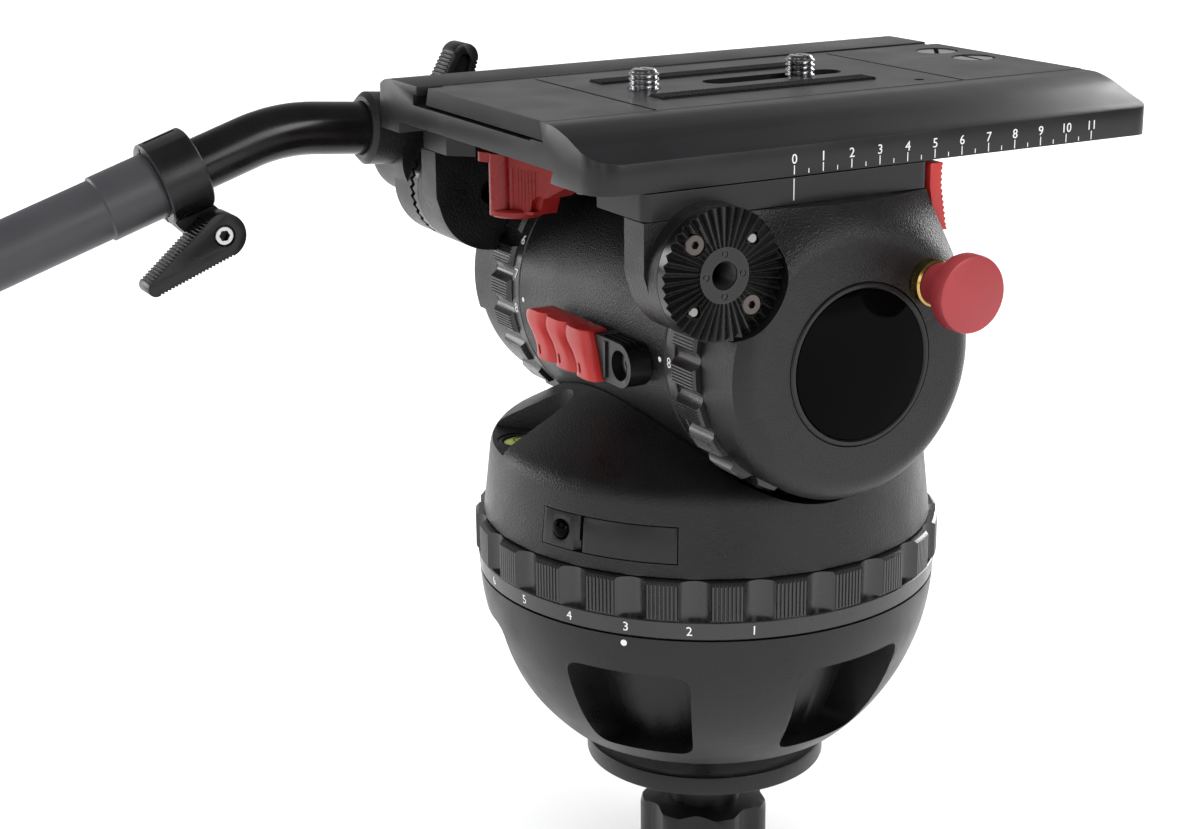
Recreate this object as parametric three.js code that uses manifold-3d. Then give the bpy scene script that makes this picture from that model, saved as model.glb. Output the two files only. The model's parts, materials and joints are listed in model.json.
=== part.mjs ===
// Fluid video head on a 150 mm half ball, with its pan bar.
// Millimetres. +X is forward, +Z is up, and the origin is the centre of the half ball on the pan axis.
// Near pieces lie on the -Y side and far pieces on the +Y side.
import * as THREE from "three";
import { mergeVertices } from "three/addons/utils/BufferGeometryUtils.js";
import Module from "manifold-3d";

const wasm = await Module();
wasm.setup();

// Clearances and cuts
const seatGap = 0.3;
const runGap = 0.4;
const overrun = 5;
const weldDistance = 0.0005;

// Facet counts
const largeFacets = 48;
const mediumFacets = 24;
const smallFacets = 12;
const cornerFacets = 3;
const cornerRoomShare = 0.49;

// Half ball and tie-down
const ballRadius = 75;
const ballTopDrop = 3.9;
const ballBottomDrop = 56;
const ballHubHeight = 13;
const ballBoreDepth = 42;
const pocketCount = 6;
const pocketAngle = 33;
const pocketFirstAzimuth = -142;
const pocketTopDrop = 16.5;
const pocketBottomDrop = 50;
const pocketUpperDepth = 17;
const pocketLowerDepth = 30;
const pocketRound = 5;
const studRadius = 6;
const studSocketDepth = 20;
const studReach = 48;
const dishRadius = 40;
const dishGap = 10;
const dishRise = 8;
const dishThickness = 6;
const dishTravel = 8;
const dishHubRadius = 15;
const knobRadius = 22;
const knobLobeDepth = 3;
const knobLobes = 7;
const knobHeight = 26;
const knobNeckRadius = 12;
const knobNeckHeight = 10;

// Pan axle and bearing
const panAxleRadius = 12;
const panAxleDepth = 25;
const panNutRadius = 20;
const panNutHeight = 7;
const panBearingInner = 24;
const panBearingOuter = 40;
const panBearingHeight = 8;
const panFloorHeight = 4.4;

// Drag rings: a number band and a scalloped grip
const ringLands = 24;
const landAngleShare = 0.5;
const panBandHeight = 6;
const panBandInset = 0.1;
const panBandTaper = 0.5;
const panGripHeight = 12.5;
const panLandProud = 1;
const scallopDepth = 2.9;
const panRingWall = 9;
const tiltBandWidth = 4.9;
const tiltGripWidth = 13.2;
const tiltLandRadius = 45.3;
const tiltScallopDepth = 2.5;

// Pan turret
const turretSkirtInset = 1.8;
const turretShoulderTaper = 2.9;
const turretShoulderHeight = 25.3;
const turretShoulderRound = 8;
const turretNeckRadius = 34;
const turretNeckHeight = 44.6;
const turretBossInset = 4;
const turretRingRelief = 46.2;

// Bubble level and its scoop in the turret
const bubbleAzimuth = 157;
const bubbleInset = 9.8;
const bubbleRingRadius = 7.6;
const bubbleVialRadius = 5.8;
const bubbleRingHeight = 2.4;
const bubbleSeatDepth = 3;
const scoopFloorHeight = 24.1;
const scoopNearY = 11;
const scoopInnerRadius = 44;
const scoopAngle = 46;
const scoopRound = 5;

// Light switch and battery cover in the turret wall
const panelDepth = 4;
const panelBottomHeight = 4.3;
const panelTopHeight = 16;
const switchStartAzimuth = -166;
const switchEndAzimuth = -153.8;
const coverEndAzimuth = -128.5;
const panelSplit = 0.35;
const buttonAzimuth = -160;
const buttonRadius = 3;
const buttonRise = 1.3;
const buttonFlange = 0.8;
const buttonTravel = 0.8;
const buttonSeatDepth = 1.4;
const buttonCrownShare = 0.7;

// Tilt drum, axle and what turns on them
const drumClearance = 5;
const drumRadius = 43.7;
const drumHalfWidth = 46.7;
const spigotRadius = 38;
const spigotHalfWidth = 65;
const drumBore = 24;
const tiltAxleRadius = 10;
const tiltAxleHalfLength = 76;
const tiltBearingWidth = 10;
const tiltBearingInset = 1;
const coilTurns = 7;
const coilWireRadius = 2.1;
const coilHalfLength = 44;

// Brake lever on the rear of the drum
const brakePivotY = -33;
const brakeDrop = 5;
const brakeEndRadius = 6.8;
const brakeBodyThickness = 7.4;
const brakeBodyEndY = 9;
const brakeTongueThickness = 2.3;
const brakeGripStartY = -20;
const brakeGripEndY = 19;
const brakeGripHalfHeight = 7.4;
const brakeGripLean = 3;
const brakeGripThickness = 8.4;
const brakeGripCorner = 5.5;
const brakeWaves = 3;
const brakeWaveDepth = 1.5;
const brakeScrewRadius = 2.8;
const brakeScrewHeadRadius = 4.4;
const brakeScrewHeadHeight = 2;
const brakeScrewDepth = 8;

// Cheeks
const cheekRadius = 42.7;
const cheekOuterY = 84.5;
const cheekEdgeRound = 8;
const webInnerY = 61.5;
const webOuterY = 72.3;
const ringRelief = 45.8;
const webFrontX = 31;
const webRearX = -65.8;
const flareInnerRadius = 36;
const flareOuterRadius = 58;
const flareFrontRise = 11.5;
const flareRearDrop = 12.8;
const axleSocketSkin = 0.3;
const badgeRadius = 24.5;
const badgeDomeRadius = 22.4;
const badgeDepth = 3;
const badgeProud = 0.5;
const badgeCrown = 1.5;

// Rosettes
const rosetteX = -45.5;
const rosetteRise = 31.7;
const rosetteRadius = 19.4;
const rosetteBossEndY = 78;
const rosetteTipY = 82.1;
const rosetteTeeth = 40;
const rosetteToothDepth = 2;
const rosetteHubRadius = 7.9;
const rosetteBore = 4.2;
const rosettePocketRadius = 20.2;
const clampBoltReach = 5;

// Platform and its rail
const platformFrontX = 32;
const platformRise = 47.1;
const platformThickness = 7.7;
const platformCorner = 3;
const notchEndX = -43.5;
const notchNearY = -39;
const notchFarY = 46;
const earChamfer = 7;
const railHeight = 3.8;
const railTopHalfWidth = 46.4;
const railUndercut = 1.5;
const gibWidth = 10;

// Red pull knob in the near cheek
const pullX = 24;
const pullRise = 22;
const pullBushRadius = 7;
const pullBushHeight = 3.5;
const pullBushNeckRadius = 5;
const pullBushDepth = 8;
const pullPinRadius = 3;
const pullPinDepth = 9;
const pullStemRadius = 6.3;
const pullDiscRadius = 11.5;
const pullDiscThickness = 6;
const pullFaceY = 105;
const pullEdgeRound = 1;

// Slide lock lever at the front of the platform
const frontPivotX = 24;
const frontPivotY = -50;
const frontBossRadius = 5.2;
const frontArmThickness = 3.6;
const frontArmWidth = 7;
const frontSlotNearY = -63.5;
const frontPinRadius = 2;
const frontPaddleStartY = -72;
const frontPaddleEndY = -55;
const frontPaddleTopX = 32.8;
const frontPaddleInset = 0.8;
const frontPaddleDrop = 20.5;
const frontPaddleLean = 2.3;
const frontPaddleThickness = 4.6;
const frontRibs = 11;
const frontRibDepth = 0.6;

// Plate carrier
const carrierRearX = -80.3;
const carrierFrontX = 117.8;
const carrierHalfWidth = 72.3;
const carrierNearCorner = 10;
const carrierFarCorner = 2;
const carrierFrontCorner = 5.6;
const carrierFarRoundWidth = 10;
const carrierFarRoundHeight = 5;
const carrierEdgeHeight = 8.6;
const carrierTopHeight = 16.6;
const carrierShoulderWidth = 27.3;
const carrierShoulderShares = [
  [0, 0],
  [0.2, 0.2],
  [0.39, 0.425],
  [0.52, 0.6],
  [0.64, 0.75],
  [0.8, 0.9],
  [0.92, 0.98],
  [1, 1],
];
const channelFloorHeight = 10.4;
const channelNearTopY = -39.4;
const channelNearLean = 1.8;
const channelNearLedgeY = -33.5;
const channelLedgeHeight = 0.5;
const channelFarTopY = 42.8;
const channelFarGrooveDepth = 2.8;
const channelGrooveHeight = 3.3;

// Camera plate, clamp bar and screws
const plateRearX = -79.2;
const plateFrontX = 118;
const plateThickness = 5.5;
const plateCorner = 2;
const plateFarTopY = 36.3;
const plateFarLean = 2.2;
const clampTravel = 1.5;
const clampRearInset = 8;
const clampFrontInset = 2;
const plateGrooveXs = [-42, 70];
const plateGrooveWidth = 1.2;
const plateGrooveDepth = 0.5;
const cameraScrewRadius = 4.75;
const cameraScrewRise = 6.1;
const cameraScrewHeadRadius = 8.2;
const cameraScrewHeadHeight = 2.2;
const cameraScrewChamfer = 0.8;
const rearScrewX = -23;
const frontScrewX = 35;
const slotRearX = -1;
const slotFrontX = 50;
const stripRearX = -30;
const stripFrontX = 49;
const stripInnerY = 14;
const stripOuterY = 23;
const stripDepth = 1;
const stripRise = 0.6;
const stripRound = 2;
const spareScrewX = 106;
const spareScrewYs = [1, 21];
const spareScrewRadius = 7;
const spareScrewDepth = 3.2;
const spareSlotWidth = 1.6;
const spareSlotDepth = 1.4;

// Plate release lever under the carrier
const rearPivotX = -50;
const rearPivotY = -14;
const rearBossRadius = 5.4;
const rearBossThickness = 8.1;
const rearArmGap = 1.6;
const rearArmThickness = 4;
const rearWebHalfWidth = 3;
const rearGripX = -60;
const rearGripY = 15;
const rearGripRadius = 8.5;
const rearGripHeight = 19.6;
const rearFootHeight = 2.5;
const rearFootRadius = 8.8;
const rearScoopRadius = 9;
const rearScoopSetback = 6;
const rearScoopReach = 14;
const rearLobeY = 30;
const rearLobeRadius = 4;
const rearPinRadius = 3.5;
const rearPinRise = 5.5;

// Pan bar
const barPlaneY = 98;
const barTubeRadius = 8.8;
const barTubeWall = 1.6;
const barFrontX = -22;
const barRiseAtRosette = 16.5;
const barFrontAngle = 4.9;
const barRearAngle = 18.5;
const barBendX = -105.3;
const barBendRadius = 60;
const barTubeEndGap = 100;
const clampDiscY = 82.4;
const clampHubRadius = 19.2;
const clampBodyY = 86;
const clampHubEndY = 97;
const clampSleeveRadius = 12.2;
const clampSleeveRearX = -76;
const clampSleeveFrontX = -19;
const clampBossRadius = 9;
const clampBlockRadius = 15;
const clampBlockSetback = 6;
const clampBlockRise = 8.3;
const clampBossEndY = 111.2;
const clampBoltRadius = 3.9;
const wingPivotEndY = 121;
const wingAzimuth = -67.1;
const wingLength = 41;
const wingHubRadius = 10;
const wingTipRadius = 5;
const wingThickness = 9.5;
const wingPocketInsetShare = 0.42;
const wingPocketStartShare = 1.45;
const wingPocketEndShare = 0.2;
const wingPocketTipShare = 0.45;
const sleeveRadius = 11;
const sleeveTailRadius = 10.25;
const sleeveSeam = 34;
const sleeveLength = 250;
const collarRadius = 13.9;
const collarLength = 15;
const collarStart = 31;
const collarSlit = 1.6;
const collarPivotInset = 2.9;
const collarEarReach = 21.1;
const collarEarRadius = 6.5;
const collarEarOuterY = 93.9;
const collarEarFarY = 104;
const collarBoltRadius = 2.6;
const collarLeverStartY = 84;
const collarLeverLength = 28.2;
const collarLeverHubRadius = 7.4;
const collarLeverTipRadius = 2.6;
const collarLeverTipAzimuth = 211.5;
const gripLength = 112;
const gripRadius = 15;
const gripOverhang = 8;
const gripSwell = 1.1;
const gripRibs = 5;
const gripRibDepth = 0.9;
const capRadius = 16.2;
const capThickness = 7;
const capShares = [
  [1, 0],
  [1, 0.5],
  [0.86, 0.85],
  [0.6, 1],
];

// Radii, heights and places that follow from the sizes above
const pocketUpperFloorRadius = ballRadius - pocketUpperDepth;
const pocketLowerFloorRadius = ballRadius - pocketLowerDepth;
const panBandLowerRadius = ballRadius - panBandInset;
const panBandUpperRadius = panBandLowerRadius + panBandTaper;
const panLandRadius = ballRadius + panLandProud;
const panRingBore = ballRadius - panRingWall;
const turretBossRadius = panRingBore - turretBossInset;
const turretSkirtRadius = ballRadius - turretSkirtInset;
const turretShoulderRadius = turretSkirtRadius - turretShoulderTaper;
const bubbleReach = turretShoulderRadius - bubbleInset;
const ringBottomZ = -ballTopDrop + runGap;
const ringTopZ = ringBottomZ + panBandHeight + panGripHeight;
const turretBottomZ = ringTopZ + runGap;
const bearingTopZ = ballHubHeight + seatGap + panBearingHeight;
const turretFloorZ = bearingTopZ + seatGap + panFloorHeight;
const tiltHeight = turretFloorZ + seatGap + panNutHeight + drumClearance + drumRadius;
const ballHubRadius = panRingBore - runGap;
const bandInnerY = drumHalfWidth + runGap / 2;
const gripInnerY = bandInnerY + tiltBandWidth;
const ringOuterY = gripInnerY + tiltGripWidth;
const cheekInnerY = ringOuterY + runGap;
const spigotEndY = Math.min(spigotHalfWidth, cheekInnerY - runGap);
const rosetteHeight = tiltHeight + rosetteRise;
const pullHeight = tiltHeight + pullRise;
const platformBottom = tiltHeight + platformRise;
const platformTop = platformBottom + platformThickness;
const frontPaddleTop = platformTop - frontPaddleInset;
const railTop = platformTop + railHeight;
const carrierBottom = platformTop + runGap;
const rearArmTop = carrierBottom - rearArmGap;
const rearGripBottom = rearArmTop - rearGripHeight;
const carrierRecessTop = railTop + seatGap;
const carrierTop = carrierBottom + carrierTopHeight;
const channelFloor = carrierBottom + channelFloorHeight;
const plateBottom = channelFloor + channelLedgeHeight + seatGap;
const plateTop = plateBottom + plateThickness;
const drumRearX = -drumRadius;
const brakeZ = tiltHeight - brakeDrop;

// Points of plain outlines
const turns = (degrees) => (degrees * Math.PI) / 180;

function arc(cx, cy, radius, startDegrees, endDegrees, steps) {
  return Array.from({ length: steps + 1 }, (_, i) => {
    const a = turns(startDegrees + ((endDegrees - startDegrees) * i) / steps);
    return [cx + radius * Math.cos(a), cy + radius * Math.sin(a)];
  });
}

function circle(cx, cy, radius, facets) {
  return arc(cx, cy, radius, 0, 360, facets).slice(0, facets);
}

function rectangle(x0, x1, y0, y1) {
  return [
    [x0, y0],
    [x1, y0],
    [x1, y1],
    [x0, y1],
  ];
}

// The convex outline round a set of points, counterclockwise.
function hull(points) {
  const sorted = [...points].sort((p, q) => p[0] - q[0] || p[1] - q[1]);
  const turn = (o, p, q) => (p[0] - o[0]) * (q[1] - o[1]) - (p[1] - o[1]) * (q[0] - o[0]);
  const half = (list) => {
    const chain = [];
    for (const p of list) {
      while (chain.length > 1 && turn(chain.at(-2), chain.at(-1), p) <= 0) chain.pop();
      chain.push(p);
    }
    return chain.slice(0, -1);
  };
  return [...half(sorted), ...half(sorted.reverse())];
}

// A polygon whose corners are rounded; radii holds one radius per corner, or one for all.
function rounded(points, radii) {
  return points.flatMap((p, i) => {
    const radius = Array.isArray(radii) ? radii[i] : radii;
    if (!radius) return [p];
    const corner = new THREE.Vector2(...p);
    const back = new THREE.Vector2(...points.at(i - 1)).sub(corner);
    const ahead = new THREE.Vector2(...points[(i + 1) % points.length]).sub(corner);
    const halfAngle = Math.acos(back.clone().normalize().dot(ahead.clone().normalize())) / 2;
    const room = Math.min(back.length(), ahead.length()) * cornerRoomShare;
    const setback = Math.min(radius / Math.tan(halfAngle), room);
    const from = back.normalize().multiplyScalar(setback).add(corner);
    const to = ahead.normalize().multiplyScalar(setback).add(corner);
    const curve = new THREE.QuadraticBezierCurve(from, corner, to);
    return curve.getPoints(cornerFacets).map((q) => [q.x, q.y]);
  });
}

// Solids
function solidFrom(geometry) {
  const bare = geometry.index ? geometry.toNonIndexed() : geometry.clone();
  bare.deleteAttribute("normal");
  bare.deleteAttribute("uv");
  const merged = mergeVertices(bare, weldDistance);
  return new wasm.Manifold(
    new wasm.Mesh({
      numProp: 3,
      vertProperties: merged.attributes.position.array,
      triVerts: new Uint32Array(merged.index.array),
    }),
  );
}

function geometryFrom(solid) {
  const mesh = solid.getMesh();
  const position = new Float32Array(mesh.numVert * 3);
  for (let i = 0; i < mesh.numVert; i++) {
    const start = i * mesh.numProp;
    position.set(mesh.vertProperties.subarray(start, start + 3), i * 3);
  }
  return new THREE.BufferGeometry()
    .setAttribute("position", new THREE.BufferAttribute(position, 3))
    .setIndex(new THREE.BufferAttribute(new Uint32Array(mesh.triVerts), 1));
}

// A solid moved by a matrix; a mirroring matrix turns the faces round.
function moved(solid, matrix) {
  const geometry = geometryFrom(solid).applyMatrix4(matrix);
  const order = geometry.index.array;
  if (matrix.determinant() < 0)
    for (let i = 0; i < order.length; i += 3) [order[i], order[i + 1]] = [order[i + 1], order[i]];
  return solidFrom(geometry);
}

const shift = (x, y, z) => new THREE.Matrix4().makeTranslation(x, y, z);
const spinZ = (degrees) => new THREE.Matrix4().makeRotationZ(turns(degrees));
const spinY = (degrees) => new THREE.Matrix4().makeRotationY(turns(degrees));
const mirrorY = new THREE.Matrix4().makeScale(1, -1, 1);
const mirrored = (solid) => moved(solid, mirrorY);

// A straight prism. Its outline is (y, z) along x, (x, z) along y, or (x, y) along z.
function prism(points, axis, from, to, holes = []) {
  const shape = new THREE.Shape(points.map((p) => new THREE.Vector2(...p)));
  for (const hole of holes) shape.holes.push(new THREE.Path(hole.map((p) => new THREE.Vector2(...p))));
  const geometry = new THREE.ExtrudeGeometry(shape, { depth: to - from, bevelEnabled: false });
  if (axis === "x") {
    geometry.applyMatrix4(
      new THREE.Matrix4().makeBasis(
        new THREE.Vector3(0, 1, 0),
        new THREE.Vector3(0, 0, 1),
        new THREE.Vector3(1, 0, 0),
      ),
    );
    geometry.translate(from, 0, 0);
  }
  if (axis === "y") {
    geometry.rotateX(Math.PI / 2);
    geometry.translate(0, to, 0);
  }
  if (axis === "z") geometry.translate(0, 0, from);
  return solidFrom(geometry);
}

// A solid of revolution. Its profile is (radius, height), counterclockwise; heights run along the axis.
function turned(profile, axis, facets, x = 0, y = 0, z = 0) {
  const points = [...profile, profile[0]].map((p) => new THREE.Vector2(...p));
  const geometry = new THREE.LatheGeometry(points, facets);
  if (axis === "z") geometry.rotateX(Math.PI / 2);
  if (axis === "x") geometry.rotateZ(-Math.PI / 2);
  geometry.translate(x, y, z);
  return solidFrom(geometry);
}

function disc(radius, axis, from, to, facets, x = 0, y = 0, z = 0) {
  const profile = [
    [0, from],
    [radius, from],
    [radius, to],
    [0, to],
  ];
  return turned(profile, axis, facets, x, y, z);
}

function tubeRing(inner, outer, axis, from, to, facets, x = 0, y = 0, z = 0) {
  return turned(rectangle(inner, outer, from, to), axis, facets, x, y, z);
}

const box = (x0, x1, y0, y1, z0, z1) => prism(rectangle(x0, x1, y0, y1), "z", z0, z1);
const joined = (first, ...rest) => rest.reduce((whole, piece) => whole.add(piece), first);
const cut = (first, ...rest) => rest.reduce((whole, piece) => whole.subtract(piece), first);

// Materials by name
const finishes = {
  casting: { color: 0x1b1c1e, roughness: 0.62, metalness: 0.35 },
  anodised: { color: 0x202124, roughness: 0.42, metalness: 0.6 },
  plastic: { color: 0x17181a, roughness: 0.55, metalness: 0 },
  rubber: { color: 0x141414, roughness: 0.85, metalness: 0 },
  gloss: { color: 0x08080a, roughness: 0.12, metalness: 0 },
  red: { color: 0xc93a3a, roughness: 0.4, metalness: 0.1 },
  brass: { color: 0xb08d4a, roughness: 0.35, metalness: 1 },
  steel: { color: 0xb9bcc0, roughness: 0.3, metalness: 1 },
  vial: { color: 0xb9c98a, roughness: 0.1, metalness: 0 },
};
const materials = Object.fromEntries(
  Object.entries(finishes).map(([name, look]) => [name, new THREE.MeshStandardMaterial(look)]),
);

const head = new THREE.Group();
head.name = "fluid_head";

function add(name, solid, finish) {
  const geometry = geometryFrom(solid).toNonIndexed();
  geometry.computeVertexNormals();
  const mesh = new THREE.Mesh(geometry, materials[finish]);
  mesh.name = name;
  head.add(mesh);
}

// Half ball: a sphere below its rim, a hub above it, six deep pockets round it
function makeHalfBall() {
  const topAngle = -Math.asin(ballTopDrop / ballRadius) * (180 / Math.PI);
  const bottomAngle = -Math.asin(ballBottomDrop / ballRadius) * (180 / Math.PI);
  const profile = [
    [0, -ballBottomDrop],
    ...arc(0, 0, ballRadius, bottomAngle, topAngle, 6),
    [ballHubRadius, -ballTopDrop],
    [ballHubRadius, ballHubHeight],
    [0, ballHubHeight],
  ];
  const pocketProfile = [
    [pocketLowerFloorRadius, -pocketBottomDrop],
    [ballRadius + overrun, -pocketBottomDrop],
    [ballRadius + overrun, -pocketTopDrop],
    [pocketUpperFloorRadius, -pocketTopDrop],
  ];
  const pocketRing = turned(rounded(pocketProfile, [pocketRound, 0, 0, pocketRound]), "z", largeFacets);
  const reach = ballRadius + 2 * overrun;
  const sector = [[0, 0], ...arc(0, 0, reach, -pocketAngle / 2, pocketAngle / 2, 4)];
  const wedge = prism(sector, "z", -pocketBottomDrop - overrun, -pocketTopDrop + overrun);
  const pocket = pocketRing.intersect(wedge);
  const pockets = Array.from({ length: pocketCount }, (_, i) =>
    moved(pocket, spinZ(pocketFirstAzimuth + (360 / pocketCount) * i)),
  );
  const axleBore = disc(
    panAxleRadius + seatGap, "z", ballHubHeight - ballBoreDepth, ballHubHeight + overrun, mediumFacets,
  );
  const studTop = -ballBottomDrop + studSocketDepth;
  const studBore = disc(
    studRadius + seatGap, "z", -ballBottomDrop - overrun, studTop + seatGap, smallFacets,
  );
  return cut(turned(profile, "z", largeFacets), ...pockets, axleBore, studBore);
}
add("half_ball", makeHalfBall(), "casting");

// Tie-down: a stud in the ball's foot, a clamp dish and a lobed knob on it
const dishBottomZ = -ballBottomDrop - dishGap - dishRise - dishThickness;
const knobTopZ = dishBottomZ - seatGap;
const knobGripTopZ = knobTopZ - knobNeckHeight;
const knobBottomZ = knobGripTopZ - knobHeight;
add(
  "tie_down_stud",
  disc(studRadius, "z", -ballBottomDrop - studReach, -ballBottomDrop + studSocketDepth, smallFacets),
  "steel",
);
add(
  "clamp_dish",
  turned(
    [
      [studRadius + runGap, dishBottomZ],
      [dishHubRadius, dishBottomZ],
      [dishRadius, dishBottomZ + dishRise],
      [dishRadius, dishBottomZ + dishRise + dishThickness],
      [dishRadius - dishThickness / 2, dishBottomZ + dishRise + dishThickness],
      [dishHubRadius, dishBottomZ + dishThickness],
      [studRadius + runGap, dishBottomZ + dishThickness],
    ],
    "z",
    mediumFacets,
  ),
  "casting",
);

function lobedOutline(radius, depth, lobes) {
  const steps = lobes * 4;
  return Array.from({ length: steps }, (_, i) => {
    const a = turns((360 * i) / steps);
    const r = radius - depth * (0.5 - 0.5 * Math.cos(lobes * a));
    return [r * Math.cos(a), r * Math.sin(a)];
  });
}

function makeTieDownKnob() {
  const lobed = prism(lobedOutline(knobRadius, knobLobeDepth, knobLobes), "z", knobBottomZ, knobGripTopZ);
  const edge = knobLobeDepth;
  const crown = turned(
    [
      [0, knobBottomZ],
      [knobRadius - edge, knobBottomZ],
      [knobRadius, knobBottomZ + edge],
      [knobRadius, knobGripTopZ - edge],
      [knobRadius - edge, knobGripTopZ],
      [0, knobGripTopZ],
    ],
    "z",
    mediumFacets,
  );
  const neck = disc(knobNeckRadius, "z", knobGripTopZ - edge, knobTopZ, mediumFacets);
  const socketBottom = -ballBottomDrop - studReach - dishTravel - seatGap;
  const socket = disc(studRadius + runGap, "z", socketBottom, knobTopZ + overrun, smallFacets);
  return cut(joined(lobed.intersect(crown), neck), socket);
}
add("tie_down_knob", makeTieDownKnob(), "plastic");

// Pan axle with its nut, and the bearing that carries the turret on the hub
const nutBottomZ = turretFloorZ + seatGap;
add(
  "pan_axle",
  turned(
    [
      [0, ballHubHeight - panAxleDepth],
      [panAxleRadius, ballHubHeight - panAxleDepth],
      [panAxleRadius, nutBottomZ],
      [panNutRadius, nutBottomZ],
      [panNutRadius, nutBottomZ + panNutHeight],
      [0, nutBottomZ + panNutHeight],
    ],
    "z",
    mediumFacets,
  ),
  "steel",
);
add(
  "pan_bearing",
  tubeRing(panBearingInner, panBearingOuter, "z", ballHubHeight + seatGap, bearingTopZ, mediumFacets),
  "steel",
);

// The outline of a scalloped grip: lands with round hollows between them
function scallopedOutline(landRadius, depth, lands) {
  const pitch = 360 / lands;
  const landHalf = (pitch * landAngleShare) / 2;
  const hollowSteps = 3;
  return Array.from({ length: lands }, (_, land) => {
    const middle = land * pitch;
    const crest = arc(0, 0, landRadius, middle - landHalf, middle + landHalf, 1);
    const hollow = Array.from({ length: hollowSteps - 1 }, (_, i) => {
      const share = (i + 1) / hollowSteps;
      const a = turns(middle + landHalf + (pitch - 2 * landHalf) * share);
      const r = landRadius - depth * Math.sqrt(Math.sin(Math.PI * share));
      return [r * Math.cos(a), r * Math.sin(a)];
    });
    return [...crest, ...hollow];
  }).flat();
}

// Pan drag ring: band below, grip above
function makePanRing() {
  const bandTop = ringBottomZ + panBandHeight;
  const band = turned(
    [
      [panRingBore, ringBottomZ],
      [panBandLowerRadius, ringBottomZ],
      [panBandUpperRadius, bandTop],
      [panRingBore, bandTop],
    ],
    "z",
    largeFacets,
  );
  const bore = circle(0, 0, panRingBore, largeFacets);
  const outline = scallopedOutline(panLandRadius, scallopDepth, ringLands);
  return joined(band, prism(outline, "z", bandTop, ringTopZ, [bore]));
}
add("pan_drag_ring", makePanRing(), "plastic");

// Pan turret: domed body with a saddle for the drum, a scoop for the level and a pocket in its wall
const turretProfile = rounded(
  [
    [panBearingOuter + seatGap, ballHubHeight + runGap],
    [turretBossRadius, ballHubHeight + runGap],
    [turretBossRadius, turretBottomZ],
    [turretSkirtRadius, turretBottomZ],
    [turretShoulderRadius, turretBottomZ + turretShoulderHeight],
    [turretNeckRadius, turretBottomZ + turretNeckHeight],
    [panNutRadius + runGap, turretBottomZ + turretNeckHeight],
    [panNutRadius + runGap, turretFloorZ],
    [panAxleRadius + runGap, turretFloorZ],
    [panAxleRadius + runGap, bearingTopZ + seatGap],
    [panBearingOuter + seatGap, bearingTopZ + seatGap],
  ],
  [0, 0, 0, 0, turretShoulderRound, 0, 0, 0, 0, 0, 0],
);

// A band of the turret's wall between two azimuths, from a depth under the surface to a height over it
function wallSector(startAzimuth, endAzimuth, bottom, top, depth, proud) {
  const slope = (turretSkirtRadius - turretShoulderRadius) / turretShoulderHeight;
  const wallAt = (height) => turretSkirtRadius - slope * height;
  const profile = [
    [wallAt(bottom) - depth, turretBottomZ + bottom],
    [wallAt(bottom) + proud, turretBottomZ + bottom],
    [wallAt(top) + proud, turretBottomZ + top],
    [wallAt(top) - depth, turretBottomZ + top],
  ];
  const reach = turretSkirtRadius + 2 * overrun;
  const sector = [[0, 0], ...arc(0, 0, reach, startAzimuth, endAzimuth, 6)];
  const wedge = prism(sector, "z", turretBottomZ, turretBottomZ + turretShoulderHeight);
  return turned(profile, "z", largeFacets).intersect(wedge);
}

const bubbleX = bubbleReach * Math.cos(turns(bubbleAzimuth));
const bubbleY = bubbleReach * Math.sin(turns(bubbleAzimuth));
const scoopFloorZ = turretBottomZ + scoopFloorHeight;
const panelMiddleZ = turretBottomZ + (panelBottomHeight + panelTopHeight) / 2;
const panelBack = turretSkirtRadius - panelDepth;

function makeScoop() {
  const apexX = scoopNearY / Math.tan(turns(bubbleAzimuth));
  const far = turns(180 - scoopAngle);
  const innerX = -Math.sqrt(scoopInnerRadius ** 2 - scoopNearY ** 2);
  const length = turretSkirtRadius + overrun;
  const innerRun = apexX - innerX;
  const outline = [
    [apexX - innerRun, scoopNearY],
    [apexX - length, scoopNearY],
    [apexX + length * Math.cos(far), scoopNearY + length * Math.sin(far)],
    [apexX + innerRun * Math.cos(far), scoopNearY + innerRun * Math.sin(far)],
  ];
  const corners = [scoopRound, 0, 0, scoopRound];
  return prism(rounded(outline, corners), "z", scoopFloorZ, turretBottomZ + turretNeckHeight + overrun);
}

function makeTurret() {
  const saddle = disc(
    drumRadius + seatGap, "y", -bandInnerY, bandInnerY, largeFacets, 0, 0, tiltHeight,
  );
  const relief = disc(
    turretRingRelief, "y", 0, turretSkirtRadius + overrun, largeFacets, 0, bandInnerY - seatGap, tiltHeight,
  );
  const bubbleSeat = disc(
    bubbleRingRadius + seatGap, "z", scoopFloorZ - bubbleSeatDepth, scoopFloorZ + overrun, smallFacets,
    bubbleX, bubbleY,
  );
  const panelPocket = wallSector(
    switchStartAzimuth, coverEndAzimuth, panelBottomHeight, panelTopHeight, panelDepth + seatGap, overrun,
  );
  const buttonBore = disc(
    buttonRadius + buttonFlange + seatGap, "x", panelBack - buttonTravel, panelBack + overrun, smallFacets,
    0, 0, panelMiddleZ,
  );
  return cut(
    turned(turretProfile, "z", largeFacets),
    saddle,
    relief,
    mirrored(relief),
    makeScoop(),
    bubbleSeat,
    panelPocket,
    moved(buttonBore, spinZ(buttonAzimuth)),
  );
}
add("pan_turret", makeTurret(), "casting");

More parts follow.
